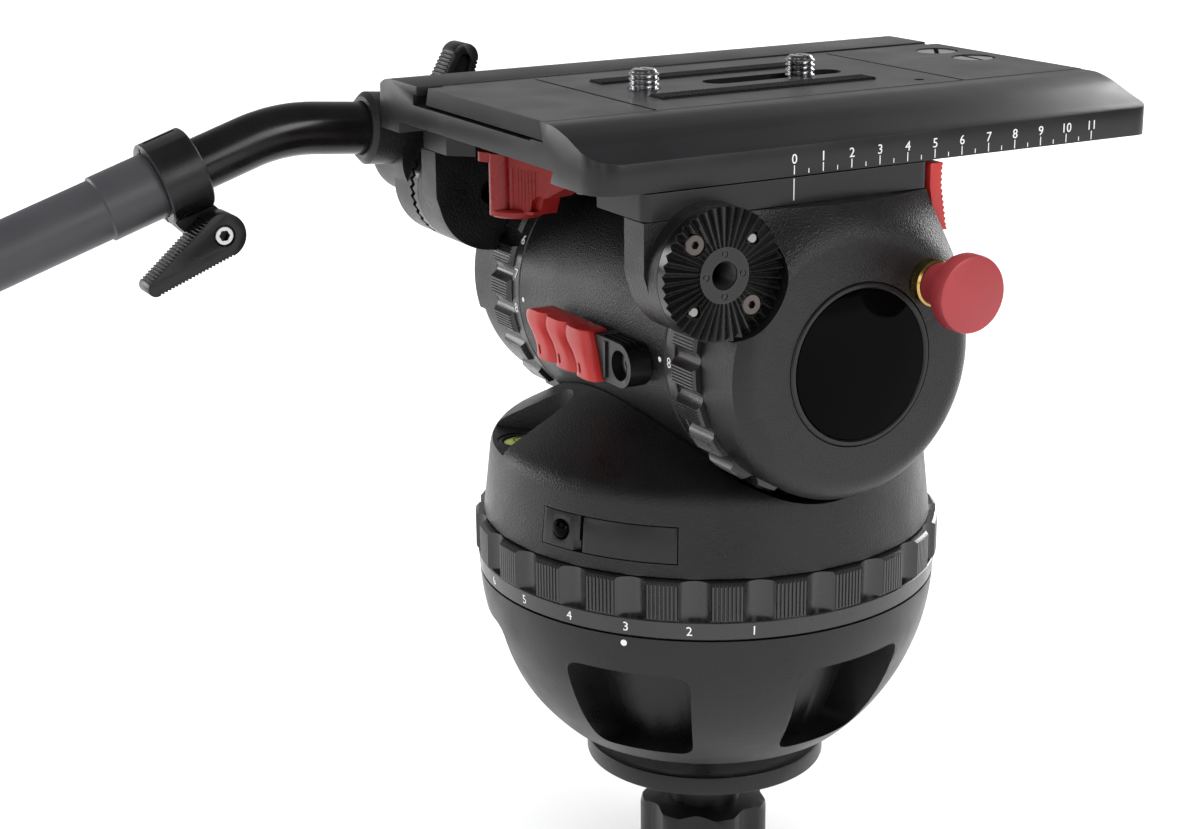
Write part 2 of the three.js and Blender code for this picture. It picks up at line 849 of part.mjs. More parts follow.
// Bubble level
add(
  "bubble_ring",
  tubeRing(
    bubbleVialRadius + seatGap, bubbleRingRadius, "z", scoopFloorZ - bubbleSeatDepth + seatGap,
    scoopFloorZ - bubbleSeatDepth + seatGap + bubbleRingHeight, smallFacets, bubbleX, bubbleY,
  ),
  "anodised",
);
add(
  "bubble_vial",
  disc(
    bubbleVialRadius, "z", scoopFloorZ - bubbleSeatDepth + seatGap,
    scoopFloorZ - bubbleSeatDepth + bubbleRingHeight, smallFacets, bubbleX, bubbleY,
  ),
  "vial",
);

// Switch plate with its button, and the battery cover
const panelGapAngle = (seatGap / turretSkirtRadius) * (180 / Math.PI);

function wallPanel(startAzimuth, endAzimuth) {
  return wallSector(
    startAzimuth + panelGapAngle, endAzimuth - panelGapAngle, panelBottomHeight + seatGap,
    panelTopHeight - seatGap, panelDepth, 0,
  );
}

function makeSwitchPlate() {
  const hole = disc(
    buttonRadius + seatGap, "x", panelBack - overrun, panelBack + 2 * overrun, smallFacets, 0, 0, panelMiddleZ,
  );
  const back = disc(
    buttonRadius + buttonFlange + seatGap, "x", panelBack - overrun, panelBack + buttonSeatDepth, smallFacets,
    0, 0, panelMiddleZ,
  );
  return cut(
    wallPanel(switchStartAzimuth, switchEndAzimuth),
    moved(hole, spinZ(buttonAzimuth)),
    moved(back, spinZ(buttonAzimuth)),
  );
}
add("light_switch_plate", makeSwitchPlate(), "plastic");

function makeButton() {
  const flangeEnd = panelBack + buttonSeatDepth - seatGap;
  const back = flangeEnd - buttonFlange;
  const front = panelBack + panelDepth + buttonRise - (turretSkirtRadius - turretShoulderRadius) / 2;
  const profile = [
    [0, back],
    [buttonRadius + buttonFlange, back],
    [buttonRadius + buttonFlange, flangeEnd],
    [buttonRadius, flangeEnd],
    [buttonRadius, front - buttonRise],
    [buttonRadius * buttonCrownShare, front - buttonRise * (1 - buttonCrownShare)],
    [0, front],
  ];
  return moved(turned(profile, "x", smallFacets, 0, 0, panelMiddleZ), spinZ(buttonAzimuth));
}
add("light_button", makeButton(), "rubber");
add("battery_cover", wallPanel(switchEndAzimuth + panelSplit, coverEndAzimuth), "plastic");

// Tilt drum, held in the turret's saddle, with a spigot for each ring
function makeDrum() {
  const profile = [
    [drumBore, -spigotEndY],
    [spigotRadius, -spigotEndY],
    [spigotRadius, -drumHalfWidth],
    [drumRadius, -drumHalfWidth],
    [drumRadius, drumHalfWidth],
    [spigotRadius, drumHalfWidth],
    [spigotRadius, spigotEndY],
    [drumBore, spigotEndY],
  ];
  const screwBore = disc(
    brakeScrewRadius + seatGap, "x", drumRearX - overrun, drumRearX + brakeScrewDepth + seatGap, smallFacets,
    0, brakePivotY, brakeZ,
  );
  return cut(turned(profile, "y", largeFacets, 0, 0, tiltHeight), screwBore);
}
add("tilt_drum", makeDrum(), "casting");

// Tilt rings, one on each spigot
function makeTiltRing() {
  const bore = spigotRadius + runGap;
  const band = tubeRing(bore, drumRadius, "y", bandInnerY, gripInnerY, largeFacets, 0, 0, tiltHeight);
  const outline = scallopedOutline(tiltLandRadius, tiltScallopDepth, ringLands);
  const grip = prism(outline, "y", gripInnerY, ringOuterY, [circle(0, 0, bore, largeFacets)]);
  return joined(band, moved(grip, shift(0, 0, tiltHeight)));
}
const farRing = makeTiltRing();
add("far_drag_ring", farRing, "plastic");
add("near_drag_ring", mirrored(farRing), "plastic");

// Tilt axle, its bearings and the counterbalance coil
const bearingOuterY = spigotEndY - tiltBearingInset;
const farBearing = tubeRing(
  tiltAxleRadius + seatGap, drumBore - seatGap, "y", bearingOuterY - tiltBearingWidth, bearingOuterY,
  mediumFacets, 0, 0, tiltHeight,
);
add(
  "tilt_axle",
  disc(tiltAxleRadius, "y", -tiltAxleHalfLength, tiltAxleHalfLength, smallFacets, 0, 0, tiltHeight),
  "steel",
);
add("tilt_bearing_far", farBearing, "steel");
add("tilt_bearing_near", mirrored(farBearing), "steel");

function makeCoil() {
  const coilRadius = drumBore - seatGap - coilWireRadius;
  const steps = coilTurns * 8;
  const points = Array.from({ length: steps + 1 }, (_, i) => {
    const a = turns((360 * coilTurns * i) / steps);
    const y = -coilHalfLength + (2 * coilHalfLength * i) / steps;
    return new THREE.Vector3(coilRadius * Math.cos(a), y, tiltHeight + coilRadius * Math.sin(a));
  });
  const path = new THREE.CatmullRomCurve3(points);
  path.arcLengthDivisions = steps * 4;
  const wire = new THREE.Shape(circle(0, 0, coilWireRadius, 4).map((p) => new THREE.Vector2(...p)));
  return solidFrom(new THREE.ExtrudeGeometry(wire, { steps, extrudePath: path }));
}
add("counterbalance_spring", makeCoil(), "steel");

// Brake lever: an arm close to the drum with a wavy grip wrapped on its end
const brakeBackX = drumRearX - seatGap;
const brakeFrontX = brakeBackX - brakeBodyThickness;

function makeBrakeLever() {
  const lean = (brakeGripLean * brakeEndRadius) / brakeGripHalfHeight;
  const shaft = hull([
    ...circle(brakePivotY, brakeZ, brakeEndRadius, smallFacets),
    [brakeGripStartY - seatGap - lean, brakeZ - brakeEndRadius],
    [brakeGripStartY - seatGap + lean, brakeZ + brakeEndRadius],
  ]);
  const body = prism(shaft, "x", brakeFrontX, brakeBackX);
  const tongueHalf = brakeEndRadius - brakeTongueThickness;
  const tongue = prism(
    rounded(
      rectangle(brakePivotY, brakeBodyEndY, brakeZ - tongueHalf, brakeZ + tongueHalf),
      [0, brakeTongueThickness, brakeTongueThickness, 0],
    ),
    "x",
    brakeBackX - brakeTongueThickness,
    brakeBackX,
  );
  const bore = disc(
    brakeScrewRadius + seatGap, "x", brakeFrontX - overrun, brakeBackX + overrun, smallFacets,
    0, brakePivotY, brakeZ,
  );
  const headSeat = disc(
    brakeScrewHeadRadius + seatGap, "x", brakeFrontX - overrun, brakeFrontX + brakeScrewHeadHeight + seatGap,
    smallFacets, 0, brakePivotY, brakeZ,
  );
  return cut(joined(body, tongue), bore, headSeat);
}
add("brake_lever", makeBrakeLever(), "plastic");

function makeBrakeGrip() {
  const back = brakeBackX - brakeTongueThickness - seatGap;
  const front = back - brakeGripThickness;
  const steps = brakeWaves * 8;
  const length = brakeGripEndY - brakeGripStartY;
  const outer = Array.from({ length: steps + 1 }, (_, i) => {
    const share = i / steps;
    const wave = Math.abs(Math.sin(Math.PI * brakeWaves * share));
    return [front + brakeWaveDepth * (1 - wave), brakeGripEndY - length * share];
  });
  const outline = [[back, brakeGripStartY], [back, brakeGripEndY], ...outer];
  const half = brakeGripHalfHeight;
  const side = rounded(
    rectangle(brakeGripStartY, brakeGripEndY, -half, half),
    [0, brakeGripCorner, brakeGripCorner, 0],
  );
  const upright = prism(outline, "z", -half, half).intersect(prism(side, "x", front - overrun, back + overrun));
  const lean = new THREE.Matrix4().makeShear(0, 0, 0, 0, 0, brakeGripLean / half);
  return moved(upright, shift(0, 0, brakeZ).multiply(lean));
}
add("brake_grip", makeBrakeGrip(), "red");
add(
  "brake_screw",
  turned(
    [
      [0, brakeFrontX],
      [brakeScrewHeadRadius, brakeFrontX],
      [brakeScrewHeadRadius, brakeFrontX + brakeScrewHeadHeight],
      [brakeScrewRadius, brakeFrontX + brakeScrewHeadHeight],
      [brakeScrewRadius, drumRearX + brakeScrewDepth],
      [0, drumRearX + brakeScrewDepth],
    ],
    "x",
    smallFacets,
    0,
    brakePivotY,
    brakeZ,
  ),
  "steel",
);

// Cheeks, built on the far side and mirrored
const cheekTop = platformBottom - seatGap;
const cheekShoulder = hull([
  ...circle(0, tiltHeight, cheekRadius, largeFacets).filter(([x, z]) => x > 0 && z > tiltHeight),
  ...circle(rosetteX, rosetteHeight, rosetteRadius, mediumFacets),
  [webFrontX, cheekTop],
  [webRearX, cheekTop],
  [webRearX, rosetteHeight],
].map(([x, z]) => [x, Math.min(z, cheekTop)]));

// The outline of a cheek, a round disc under a shoulder, between two depths
function cheekSlab(from, to) {
  const lower = disc(cheekRadius, "y", from, to, largeFacets, 0, 0, tiltHeight);
  return joined(lower, prism(cheekShoulder, "y", from, to));
}

function makeCheekBody() {
  const web = cheekSlab(webInnerY, webOuterY);
  const rimY = cheekOuterY - cheekEdgeRound;
  const rim = arc(cheekRadius - cheekEdgeRound, rimY, cheekEdgeRound, 0, 90, cornerFacets + 1);
  const drum = turned(
    [[0, cheekInnerY], [cheekRadius, cheekInnerY], ...rim, [0, cheekOuterY]],
    "y",
    largeFacets,
    0,
    0,
    tiltHeight,
  );
  const flareSteps = 5;
  const flare = Array.from({ length: flareSteps + 1 }, (_, i) => {
    const share = i / flareSteps;
    const height = webOuterY + (cheekOuterY - webOuterY) * (0.5 + 0.5 * Math.cos(Math.PI * share));
    return [flareInnerRadius + (flareOuterRadius - flareInnerRadius) * share, height];
  }).reverse();
  const bell = turned(
    [[0, cheekInnerY], [flareOuterRadius, cheekInnerY], ...flare, [0, cheekOuterY]],
    "y",
    largeFacets,
    0,
    0,
    tiltHeight,
  );
  const upper = prism(
    [
      [-cheekRadius, tiltHeight - flareRearDrop],
      [cheekRadius, tiltHeight + flareFrontRise],
      [cheekRadius + flareOuterRadius, cheekTop],
      [webRearX - rosetteRadius, cheekTop],
      [webRearX - rosetteRadius, rosetteHeight - rosetteRadius],
    ],
    "y",
    webInnerY,
    cheekOuterY + overrun,
  );
  const skirt = bell.intersect(cheekSlab(webInnerY, cheekOuterY + overrun)).intersect(upper);
  return joined(web, drum, skirt);
}

function makeCheek() {
  const relief = disc(ringRelief, "y", webInnerY - overrun, cheekInnerY, largeFacets, 0, 0, tiltHeight);
  const bossY = rosetteBossEndY - seatGap;
  const lowerBoss = disc(rosetteRadius, "y", webInnerY, bossY, mediumFacets, rosetteX, 0, rosetteHeight)
    .intersect(cheekSlab(webInnerY, bossY));
  const boss = disc(
    rosetteRadius, "y", webOuterY + seatGap, bossY, mediumFacets, rosetteX, 0, rosetteHeight,
  ).add(lowerBoss);
  const bossPocket = disc(
    rosettePocketRadius, "y", bossY, cheekOuterY + overrun, mediumFacets, rosetteX, 0, rosetteHeight,
  );
  const bossBore = disc(
    rosetteBore, "y", webInnerY - overrun, cheekOuterY + overrun, smallFacets, rosetteX, 0, rosetteHeight,
  );
  const axleBore = disc(
    tiltAxleRadius + seatGap, "y", cheekInnerY - overrun, tiltAxleHalfLength + axleSocketSkin, smallFacets,
    0, 0, tiltHeight,
  );
  const badgeSeat = disc(
    badgeRadius + seatGap, "y", cheekOuterY - badgeDepth, cheekOuterY + overrun, largeFacets, 0, 0, tiltHeight,
  );
  return cut(joined(makeCheekBody(), boss), relief, bossPocket, bossBore, axleBore, badgeSeat);
}
const farCheek = makeCheek();
add("tilt_cheek_far", farCheek, "casting");
const bushEndY = cheekOuterY - pullBushDepth;
const bushBore = disc(
  pullBushNeckRadius + seatGap, "y", -cheekOuterY - overrun, -bushEndY + seatGap, smallFacets,
  pullX, 0, pullHeight,
);
const pinBore = disc(
  pullPinRadius + runGap, "y", -cheekOuterY, -cheekOuterY + pullPinDepth + seatGap, smallFacets,
  pullX, 0, pullHeight,
);
add("tilt_cheek_near", cut(mirrored(farCheek), bushBore, pinBore), "casting");

// Badges: a rim and a plain dome in each cheek
const badgeFloorY = cheekOuterY - badgeDepth + seatGap;
const domeRimY = cheekOuterY + badgeProud / 2;
const farBezel = tubeRing(
  badgeDomeRadius + seatGap, badgeRadius, "y", badgeFloorY, cheekOuterY + badgeProud, mediumFacets,
  0, 0, tiltHeight,
);
const domeSteps = 3;
const domeCurve = Array.from({ length: domeSteps + 1 }, (_, i) => {
  const share = i / domeSteps;
  return [badgeDomeRadius * (1 - share), domeRimY + (badgeCrown - badgeProud / 2) * (1 - (1 - share) ** 2)];
});
const domeProfile = [[0, badgeFloorY], [badgeDomeRadius, badgeFloorY], ...domeCurve];
const farDome = turned(domeProfile, "y", mediumFacets, 0, 0, tiltHeight);
add("badge_rim_far", farBezel, "plastic");
add("badge_dome_far", farDome, "gloss");
add("badge_rim_near", mirrored(farBezel), "plastic");
add("badge_dome_near", mirrored(farDome), "gloss");

// Rosettes: radial teeth whose tips are level with the hub's face
function makeToothRing(baseY, tipY, phase) {
  const count = rosetteTeeth * 2;
  const inner = rosetteHubRadius;
  const valleyAt = (radius) => tipY - Math.sign(tipY - baseY) * rosetteToothDepth * (radius / rosetteRadius);
  const rows = Array.from({ length: count }, (_, i) => {
    const a = turns((360 * (i + phase)) / count);
    const tip = i % 2 === 0;
    const at = (radius, y) => [
      rosetteX + radius * Math.cos(a),
      y,
      rosetteHeight + radius * Math.sin(a),
    ];
    const outerY = tip ? tipY : valleyAt(rosetteRadius);
    const innerY = tip ? tipY : valleyAt(inner);
    return [at(inner, baseY), at(rosetteRadius, baseY), at(rosetteRadius, outerY), at(inner, innerY)];
  });
  const positions = [];
  rows.forEach((row, i) => {
    const next = rows[(i + 1) % count];
    for (let k = 0; k < 4; k++) {
      const corners = [row[k], next[k], next[(k + 1) % 4], row[(k + 1) % 4]];
      const order = tipY > baseY ? [0, 2, 1, 0, 3, 2] : [0, 1, 2, 0, 2, 3];
      for (const c of order) positions.push(...corners[c]);
    }
  });
  const geometry = new THREE.BufferGeometry();
  geometry.setAttribute("position", new THREE.Float32BufferAttribute(positions, 3));
  return solidFrom(geometry);
}

function makeRosette() {
  const hub = tubeRing(
    rosetteBore, rosetteHubRadius + seatGap / 2, "y", rosetteBossEndY, rosetteTipY, smallFacets * 2,
    rosetteX, 0, rosetteHeight,
  );
  return joined(makeToothRing(rosetteBossEndY, rosetteTipY, 0), hub);
}
const farRosette = makeRosette();
add("rosette_far", farRosette, "anodised");
add("rosette_near", mirrored(farRosette), "anodised");

// Pull knob and its bush
add(
  "pull_bush",
  turned(
    [
      [pullPinRadius + runGap, -cheekOuterY - seatGap - pullBushHeight],
      [pullBushRadius, -cheekOuterY - seatGap - pullBushHeight],
      [pullBushRadius, -cheekOuterY - seatGap],
      [pullBushNeckRadius, -cheekOuterY - seatGap],
      [pullBushNeckRadius, -bushEndY],
      [pullPinRadius + runGap, -bushEndY],
    ],
    "y",
    smallFacets,
    pullX,
    0,
    pullHeight,
  ),
  "brass",
);
const stemStartY = -cheekOuterY - pullBushHeight - 2 * seatGap;
add(
  "pull_knob",
  turned(
    [
      [0, -pullFaceY],
      [pullDiscRadius - pullEdgeRound, -pullFaceY],
      [pullDiscRadius, -pullFaceY + pullEdgeRound],
      [pullDiscRadius, -pullFaceY + pullDiscThickness - pullEdgeRound],
      [pullDiscRadius - pullEdgeRound, -pullFaceY + pullDiscThickness],
      [pullStemRadius, -pullFaceY + pullDiscThickness],
      [pullStemRadius, stemStartY],
      [pullPinRadius, stemStartY],
      [pullPinRadius, -cheekOuterY + pullPinDepth],
      [0, -cheekOuterY + pullPinDepth],
    ],
    "y",
    mediumFacets,
    pullX,
    0,
    pullHeight,
  ),
  "red",
);

// Platform: a table with two rear ears, a rail on top and a slot for the front lever
const frontArmZ = frontPaddleTop - frontArmThickness;
function makePlatform() {
  const outline = [
    [webRearX, -webOuterY],
    [platformFrontX, -webOuterY],
    [platformFrontX, webOuterY],
    [webRearX, webOuterY],
    [webRearX, notchFarY + earChamfer],
    [webRearX + earChamfer, notchFarY],
    [notchEndX, notchFarY],
    [notchEndX, notchNearY],
    [webRearX + earChamfer, notchNearY],
    [webRearX, notchNearY - earChamfer],
  ];
  const c = platformCorner;
  const table = prism(rounded(outline, [c, c, c, c, 0, 0, c, c, 0, 0]), "z", platformBottom, platformTop);
  const base = railTopHalfWidth - railUndercut;
  const rail = prism(
    [
      [-base, platformTop - seatGap],
      [base, platformTop - seatGap],
      [base, platformTop],
      [railTopHalfWidth, railTop],
      [-railTopHalfWidth, railTop],
      [-base, platformTop],
    ],
    "x",
    notchEndX,
    platformFrontX,
  );
  const slotTop = frontPaddleTop + runGap;
  const slotBottom = frontArmZ - runGap;
  const slotInner = frontPivotY + frontBossRadius + runGap;
  const slot = box(
    frontPivotX - frontBossRadius - runGap, platformFrontX + overrun, frontSlotNearY, slotInner,
    slotBottom, slotTop,
  );
  const pinBore = disc(
    frontPinRadius + seatGap, "z", platformBottom - overrun, platformTop - seatGap, smallFacets,
    frontPivotX, frontPivotY,
  );
  return cut(joined(table, rail), slot, pinBore);
}
add("platform", makePlatform(), "anodised");

const gibInnerY = railTopHalfWidth + runGap;
add(
  "slide_gib",
  prism(
    [
      [gibInnerY - railUndercut, platformTop + seatGap],
      [gibInnerY + gibWidth, platformTop + seatGap],
      [gibInnerY + gibWidth, railTop],
      [gibInnerY, railTop],
    ],
    "x",
    notchEndX,
    platformFrontX,
  ),
  "steel",
);

// Front lever: a ribbed paddle on an arm, turning on a pin in the platform's slot
function makeFrontLever() {
  const start = frontPaddleTopX;
  const bottomZ = frontPaddleTop - frontPaddleDrop;
  const straightZ = platformBottom;
  const ribSteps = frontRibs * 2;
  const front = Array.from({ length: ribSteps + 1 }, (_, i) => {
    const z = bottomZ + ((frontPaddleTop - bottomZ) * i) / ribSteps;
    const lean = Math.max(0, (straightZ - z) / (straightZ - bottomZ)) * frontPaddleLean;
    return [start + frontPaddleThickness + lean - (i % 2) * frontRibDepth, z];
  });
  const outline = [[start, frontPaddleTop], [start, straightZ], [start + frontPaddleLean, bottomZ], ...front];
  const paddle = prism(outline, "y", frontPaddleStartY, frontPaddleEndY);
  const armEnd = rectangle(
    start, start + frontPaddleThickness / 2, frontPaddleEndY - frontArmWidth, frontPaddleEndY,
  );
  const arm = prism(
    hull([...circle(frontPivotX, frontPivotY, frontBossRadius, smallFacets), ...armEnd]),
    "z",
    frontArmZ,
    frontPaddleTop,
  );
  const bore = disc(
    frontPinRadius + runGap, "z", frontArmZ - overrun, frontPaddleTop + overrun, smallFacets,
    frontPivotX, frontPivotY,
  );
  return cut(joined(paddle, arm), bore);
}
add("front_lever", makeFrontLever(), "red");
add(
  "front_lever_pin",
  disc(
    frontPinRadius, "z", platformBottom + seatGap, platformTop - 2 * seatGap, smallFacets,
    frontPivotX, frontPivotY,
  ),
  "steel",
);

// Plate carrier: one profile along X, trimmed to its plan, with a channel for the plate
const carrierWallY = gibInnerY + gibWidth + seatGap;
const recessBaseY = railTopHalfWidth - railUndercut + runGap;
const nearShoulder = carrierShoulderShares.map(([across, up]) => [
  -carrierHalfWidth + carrierShoulderWidth * across,
  carrierBottom + carrierEdgeHeight + (carrierTopHeight - carrierEdgeHeight) * up,
]);
const farEdgeSteps = 4;
const farEdge = Array.from({ length: farEdgeSteps + 1 }, (_, i) => {
  const a = turns((90 * i) / farEdgeSteps);
  return [
    carrierHalfWidth - carrierFarRoundWidth * (1 - Math.cos(a)),
    carrierTop - carrierFarRoundHeight * (1 - Math.sin(a)),
  ];
});
const grooveTop = channelFloor + channelGrooveHeight;

function makeCarrier() {
  const section = [
    [-carrierHalfWidth, carrierBottom],
    [-recessBaseY, carrierBottom],
    [-railTopHalfWidth - runGap, carrierRecessTop],
    [carrierWallY, carrierRecessTop],
    [carrierWallY, carrierBottom],
    [carrierHalfWidth, carrierBottom],
    ...farEdge,
    [channelFarTopY, carrierTop],
    [channelFarTopY, grooveTop],
    [channelFarTopY + channelFarGrooveDepth, grooveTop],
    [channelFarTopY + channelFarGrooveDepth, channelFloor],
    [channelNearLedgeY, channelFloor],
    [channelNearLedgeY, channelFloor + channelLedgeHeight],
    [channelNearTopY - channelNearLean, channelFloor + channelLedgeHeight],
    [channelNearTopY, carrierTop],
    ...nearShoulder.toReversed(),
  ];
  const body = prism(section, "x", carrierRearX, carrierFrontX);
  const plan = rounded(
    rectangle(carrierRearX, carrierFrontX, -carrierHalfWidth, carrierHalfWidth),
    [carrierNearCorner, carrierFrontCorner, carrierFrontCorner, carrierFarCorner],
  );
  const trim = prism(plan, "z", carrierBottom - overrun, carrierTop + overrun);
  const pinBore = disc(
    rearPinRadius + seatGap, "z", carrierRecessTop - overrun, carrierRecessTop + rearPinRise + seatGap,
    smallFacets, rearPivotX, rearPivotY,
  );
  return cut(body.intersect(trim), pinBore);
}
add("plate_carrier", makeCarrier(), "anodised");

// Clamp bar in the channel's far groove
const clampTopY = channelFarTopY - clampTravel - seatGap;
const clampInnerTopY = plateFarTopY + runGap;
add(
  "plate_clamp_bar",
  prism(
    [
      [clampInnerTopY + plateFarLean, channelFloor + seatGap],
      [clampTopY + channelFarGrooveDepth, channelFloor + seatGap],
      [clampTopY + channelFarGrooveDepth, grooveTop - seatGap],
      [clampTopY, grooveTop - seatGap],
      [clampTopY, carrierTop - seatGap],
      [clampInnerTopY, carrierTop - seatGap],
    ],
    "x",
    carrierRearX + clampRearInset,
    carrierFrontX - clampFrontInset,
  ),
  "anodised",
);

// Camera plate with its screws and rubber strips
const plateNearTopY = channelNearTopY + seatGap;
const screwHeadZ = plateBottom + seatGap;
const screwNeckZ = screwHeadZ + cameraScrewHeadHeight;

function slotOutline(rear, front, radius) {
  return hull([
    ...circle(rear + radius, 0, radius, smallFacets),
    ...circle(front - radius, 0, radius, smallFacets),
  ]);
}

function makeCameraPlate() {
  const section = [
    [plateNearTopY - channelNearLean, plateBottom],
    [plateFarTopY + plateFarLean, plateBottom],
    [plateFarTopY, plateTop],
    [plateNearTopY, plateTop],
  ];
  const neck = cameraScrewRadius + runGap;
  const headRoom = cameraScrewHeadRadius + runGap;
  const widen = headRoom - neck;
  const ledgeZ = screwNeckZ + seatGap;
  const spareSeatZ = plateTop - spareScrewDepth - seatGap;
  const cuts = [
    prism(slotOutline(slotRearX, slotFrontX, neck), "z", plateBottom - overrun, plateTop + overrun),
    prism(slotOutline(slotRearX - widen, slotFrontX + widen, headRoom), "z", plateBottom - overrun, ledgeZ),
    disc(neck, "z", plateBottom - overrun, plateTop + overrun, smallFacets, rearScrewX),
    disc(headRoom, "z", plateBottom - overrun, ledgeZ, smallFacets, rearScrewX),
    ...[-1, 1].map((side) => prism(stripOutline(side, seatGap), "z", plateTop - stripDepth, plateTop + overrun)),
    ...spareScrewYs.map((y) =>
      disc(spareScrewRadius + seatGap, "z", spareSeatZ, plateTop + overrun, smallFacets, spareScrewX, y),
    ),
    ...plateGrooveXs.map((x) =>
      box(
        x - plateGrooveWidth / 2, x + plateGrooveWidth / 2, plateNearTopY - overrun, plateFarTopY + overrun,
        plateTop - plateGrooveDepth, plateTop + overrun,
      ),
    ),
  ];
  return cut(prism(section, "x", plateRearX, plateFrontX), ...cuts);
}

function stripOutline(side, margin) {
  const ys = [side * stripInnerY, side * stripOuterY].sort((a, b) => a - b);
  return rounded(rectangle(stripRearX - margin, stripFrontX + margin, ys[0] - margin, ys[1] + margin), stripRound);
}
add("camera_plate", makeCameraPlate(), "anodised");
for (const [name, side] of [["near", -1], ["far", 1]])
  add(
    "rubber_strip_" + name,
    prism(stripOutline(side, 0), "z", plateTop - stripDepth + seatGap, plateTop + stripRise),
    "rubber",
  );
for (const [name, x] of [["rear", rearScrewX], ["front", frontScrewX]])
  add(
    "camera_screw_" + name,
    turned(
      [
        [0, screwHeadZ],
        [cameraScrewHeadRadius, screwHeadZ],
        [cameraScrewHeadRadius, screwNeckZ],
        [cameraScrewRadius, screwNeckZ],
        [cameraScrewRadius, plateTop + cameraScrewRise - cameraScrewChamfer],
        [cameraScrewRadius - cameraScrewChamfer, plateTop + cameraScrewRise],
        [0, plateTop + cameraScrewRise],
      ],
      "z",
      smallFacets,
      x,
    ),
    "steel",
  );
spareScrewYs.forEach((y, i) => {
  const top = plateTop - seatGap;
  const body = disc(spareScrewRadius, "z", plateTop - spareScrewDepth, top, smallFacets, spareScrewX, y);
  const half = spareSlotWidth / 2;
  const reach = spareScrewRadius + overrun;
  const slot = box(
    spareScrewX - half, spareScrewX + half, y - reach, y + reach, top - spareSlotDepth, top + overrun,
  );
  add("spare_screw_" + (i + 1), cut(body, slot), "steel");
});

// Rear lever: a boss on a pin in the carrier, a flat arm over a web, and an upright grip with a thumb scoop
function makeRearLever() {
  const armBottom = rearArmTop - rearArmThickness;
  const bossBottom = rearArmTop - rearBossThickness;
  const footTop = rearGripBottom + rearFootHeight;
  const plan = (radius, y, endRadius) =>
    hull([
      ...circle(rearGripX, rearGripY, radius, smallFacets),
      ...circle(y > rearGripY ? rearGripX : rearPivotX, y, endRadius, smallFacets),
    ]);
  const arm = prism(plan(rearBossRadius, rearPivotY, rearBossRadius), "z", armBottom, rearArmTop);
  const lobe = prism(
    plan(rearBossRadius, rearLobeY - rearLobeRadius, rearLobeRadius), "z", armBottom, rearArmTop,
  );
  const webSide = [
    [rearGripY, footTop],
    [rearGripY, armBottom + seatGap],
    [rearPivotY, armBottom + seatGap],
    [rearPivotY, bossBottom],
    [rearPivotY + rearBossRadius + seatGap, bossBottom],
  ];
  const web = prism(webSide, "x", rearGripX - rearGripRadius, rearPivotX + rearBossRadius).intersect(
    prism(plan(rearWebHalfWidth, rearPivotY, rearWebHalfWidth), "z", rearGripBottom, rearArmTop),
  );
  const boss = disc(rearBossRadius, "z", bossBottom, rearArmTop, smallFacets, rearPivotX, rearPivotY);
  const grip = disc(rearGripRadius, "z", rearGripBottom, rearArmTop, mediumFacets, rearGripX, rearGripY);
  const foot = disc(rearFootRadius, "z", rearGripBottom, footTop, mediumFacets, rearGripX, rearGripY);
  const scoop = disc(
    rearScoopRadius, "z", footTop, armBottom, mediumFacets,
    rearGripX - rearScoopSetback, rearGripY - rearScoopReach,
  );
  const bore = disc(
    rearPinRadius + runGap, "z", bossBottom - overrun, rearArmTop + overrun, smallFacets,
    rearPivotX, rearPivotY,
  );
  return cut(joined(arm, lobe, web, boss, grip, foot), scoop, bore);
}
add("rear_lever", makeRearLever(), "red");
const rearPinBottom = rearArmTop - rearBossThickness - seatGap;
const rearPinHeadRadius = rearBossRadius;
const rearPinHeadBottom = rearPinBottom - rearPinRadius / 2;
add(
  "rear_lever_pin",
  turned(
    [
      [0, rearPinHeadBottom],
      [rearPinHeadRadius, rearPinHeadBottom],
      [rearPinHeadRadius, rearPinBottom],
      [rearPinRadius, rearPinBottom],
      [rearPinRadius, carrierRecessTop + rearPinRise],
      [0, carrierRecessTop + rearPinRise],
    ],
    "z",
    smallFacets,
    rearPivotX,
    rearPivotY,
  ),
  "steel",
);

// Pan bar: a straight front, a bend and a straight rear part in the plane of the bar
const barZAtRosette = rosetteHeight + barRiseAtRosette;
const frontRise = Math.tan(turns(barFrontAngle));
const barBendZ = barZAtRosette + frontRise * (rosetteX - barBendX);
const bendCorner = new THREE.Vector3(barBendX, barPlaneY, barBendZ);
const towardFront = new THREE.Vector3(Math.cos(turns(barFrontAngle)), 0, -Math.sin(turns(barFrontAngle)));
const towardRear = new THREE.Vector3(-Math.cos(turns(barRearAngle)), 0, -Math.sin(turns(barRearAngle)));
const bendSetback = barBendRadius * Math.tan(turns((barFrontAngle + barRearAngle) / 2));
const barFront = bendCorner.clone().addScaledVector(towardFront, (barFrontX - barBendX) / towardFront.x);
const bendStart = bendCorner.clone().addScaledVector(towardFront, bendSetback);
const bendEnd = bendCorner.clone().addScaledVector(towardRear, bendSetback);
const barRear = bendCorner.clone().addScaledVector(towardRear, collarStart + sleeveLength - barTubeEndGap);

// A piece turned on the bar's rear axis; heights run rearward from the bend's corner.
const rearAxisMatrix = new THREE.Matrix4().makeBasis(
  new THREE.Vector3(0, 1, 0),
  new THREE.Vector3().crossVectors(towardRear, new THREE.Vector3(0, 1, 0)),
  towardRear,
).setPosition(bendCorner);
const alongBar = (profile, facets) => moved(turned(profile, "z", facets), rearAxisMatrix);

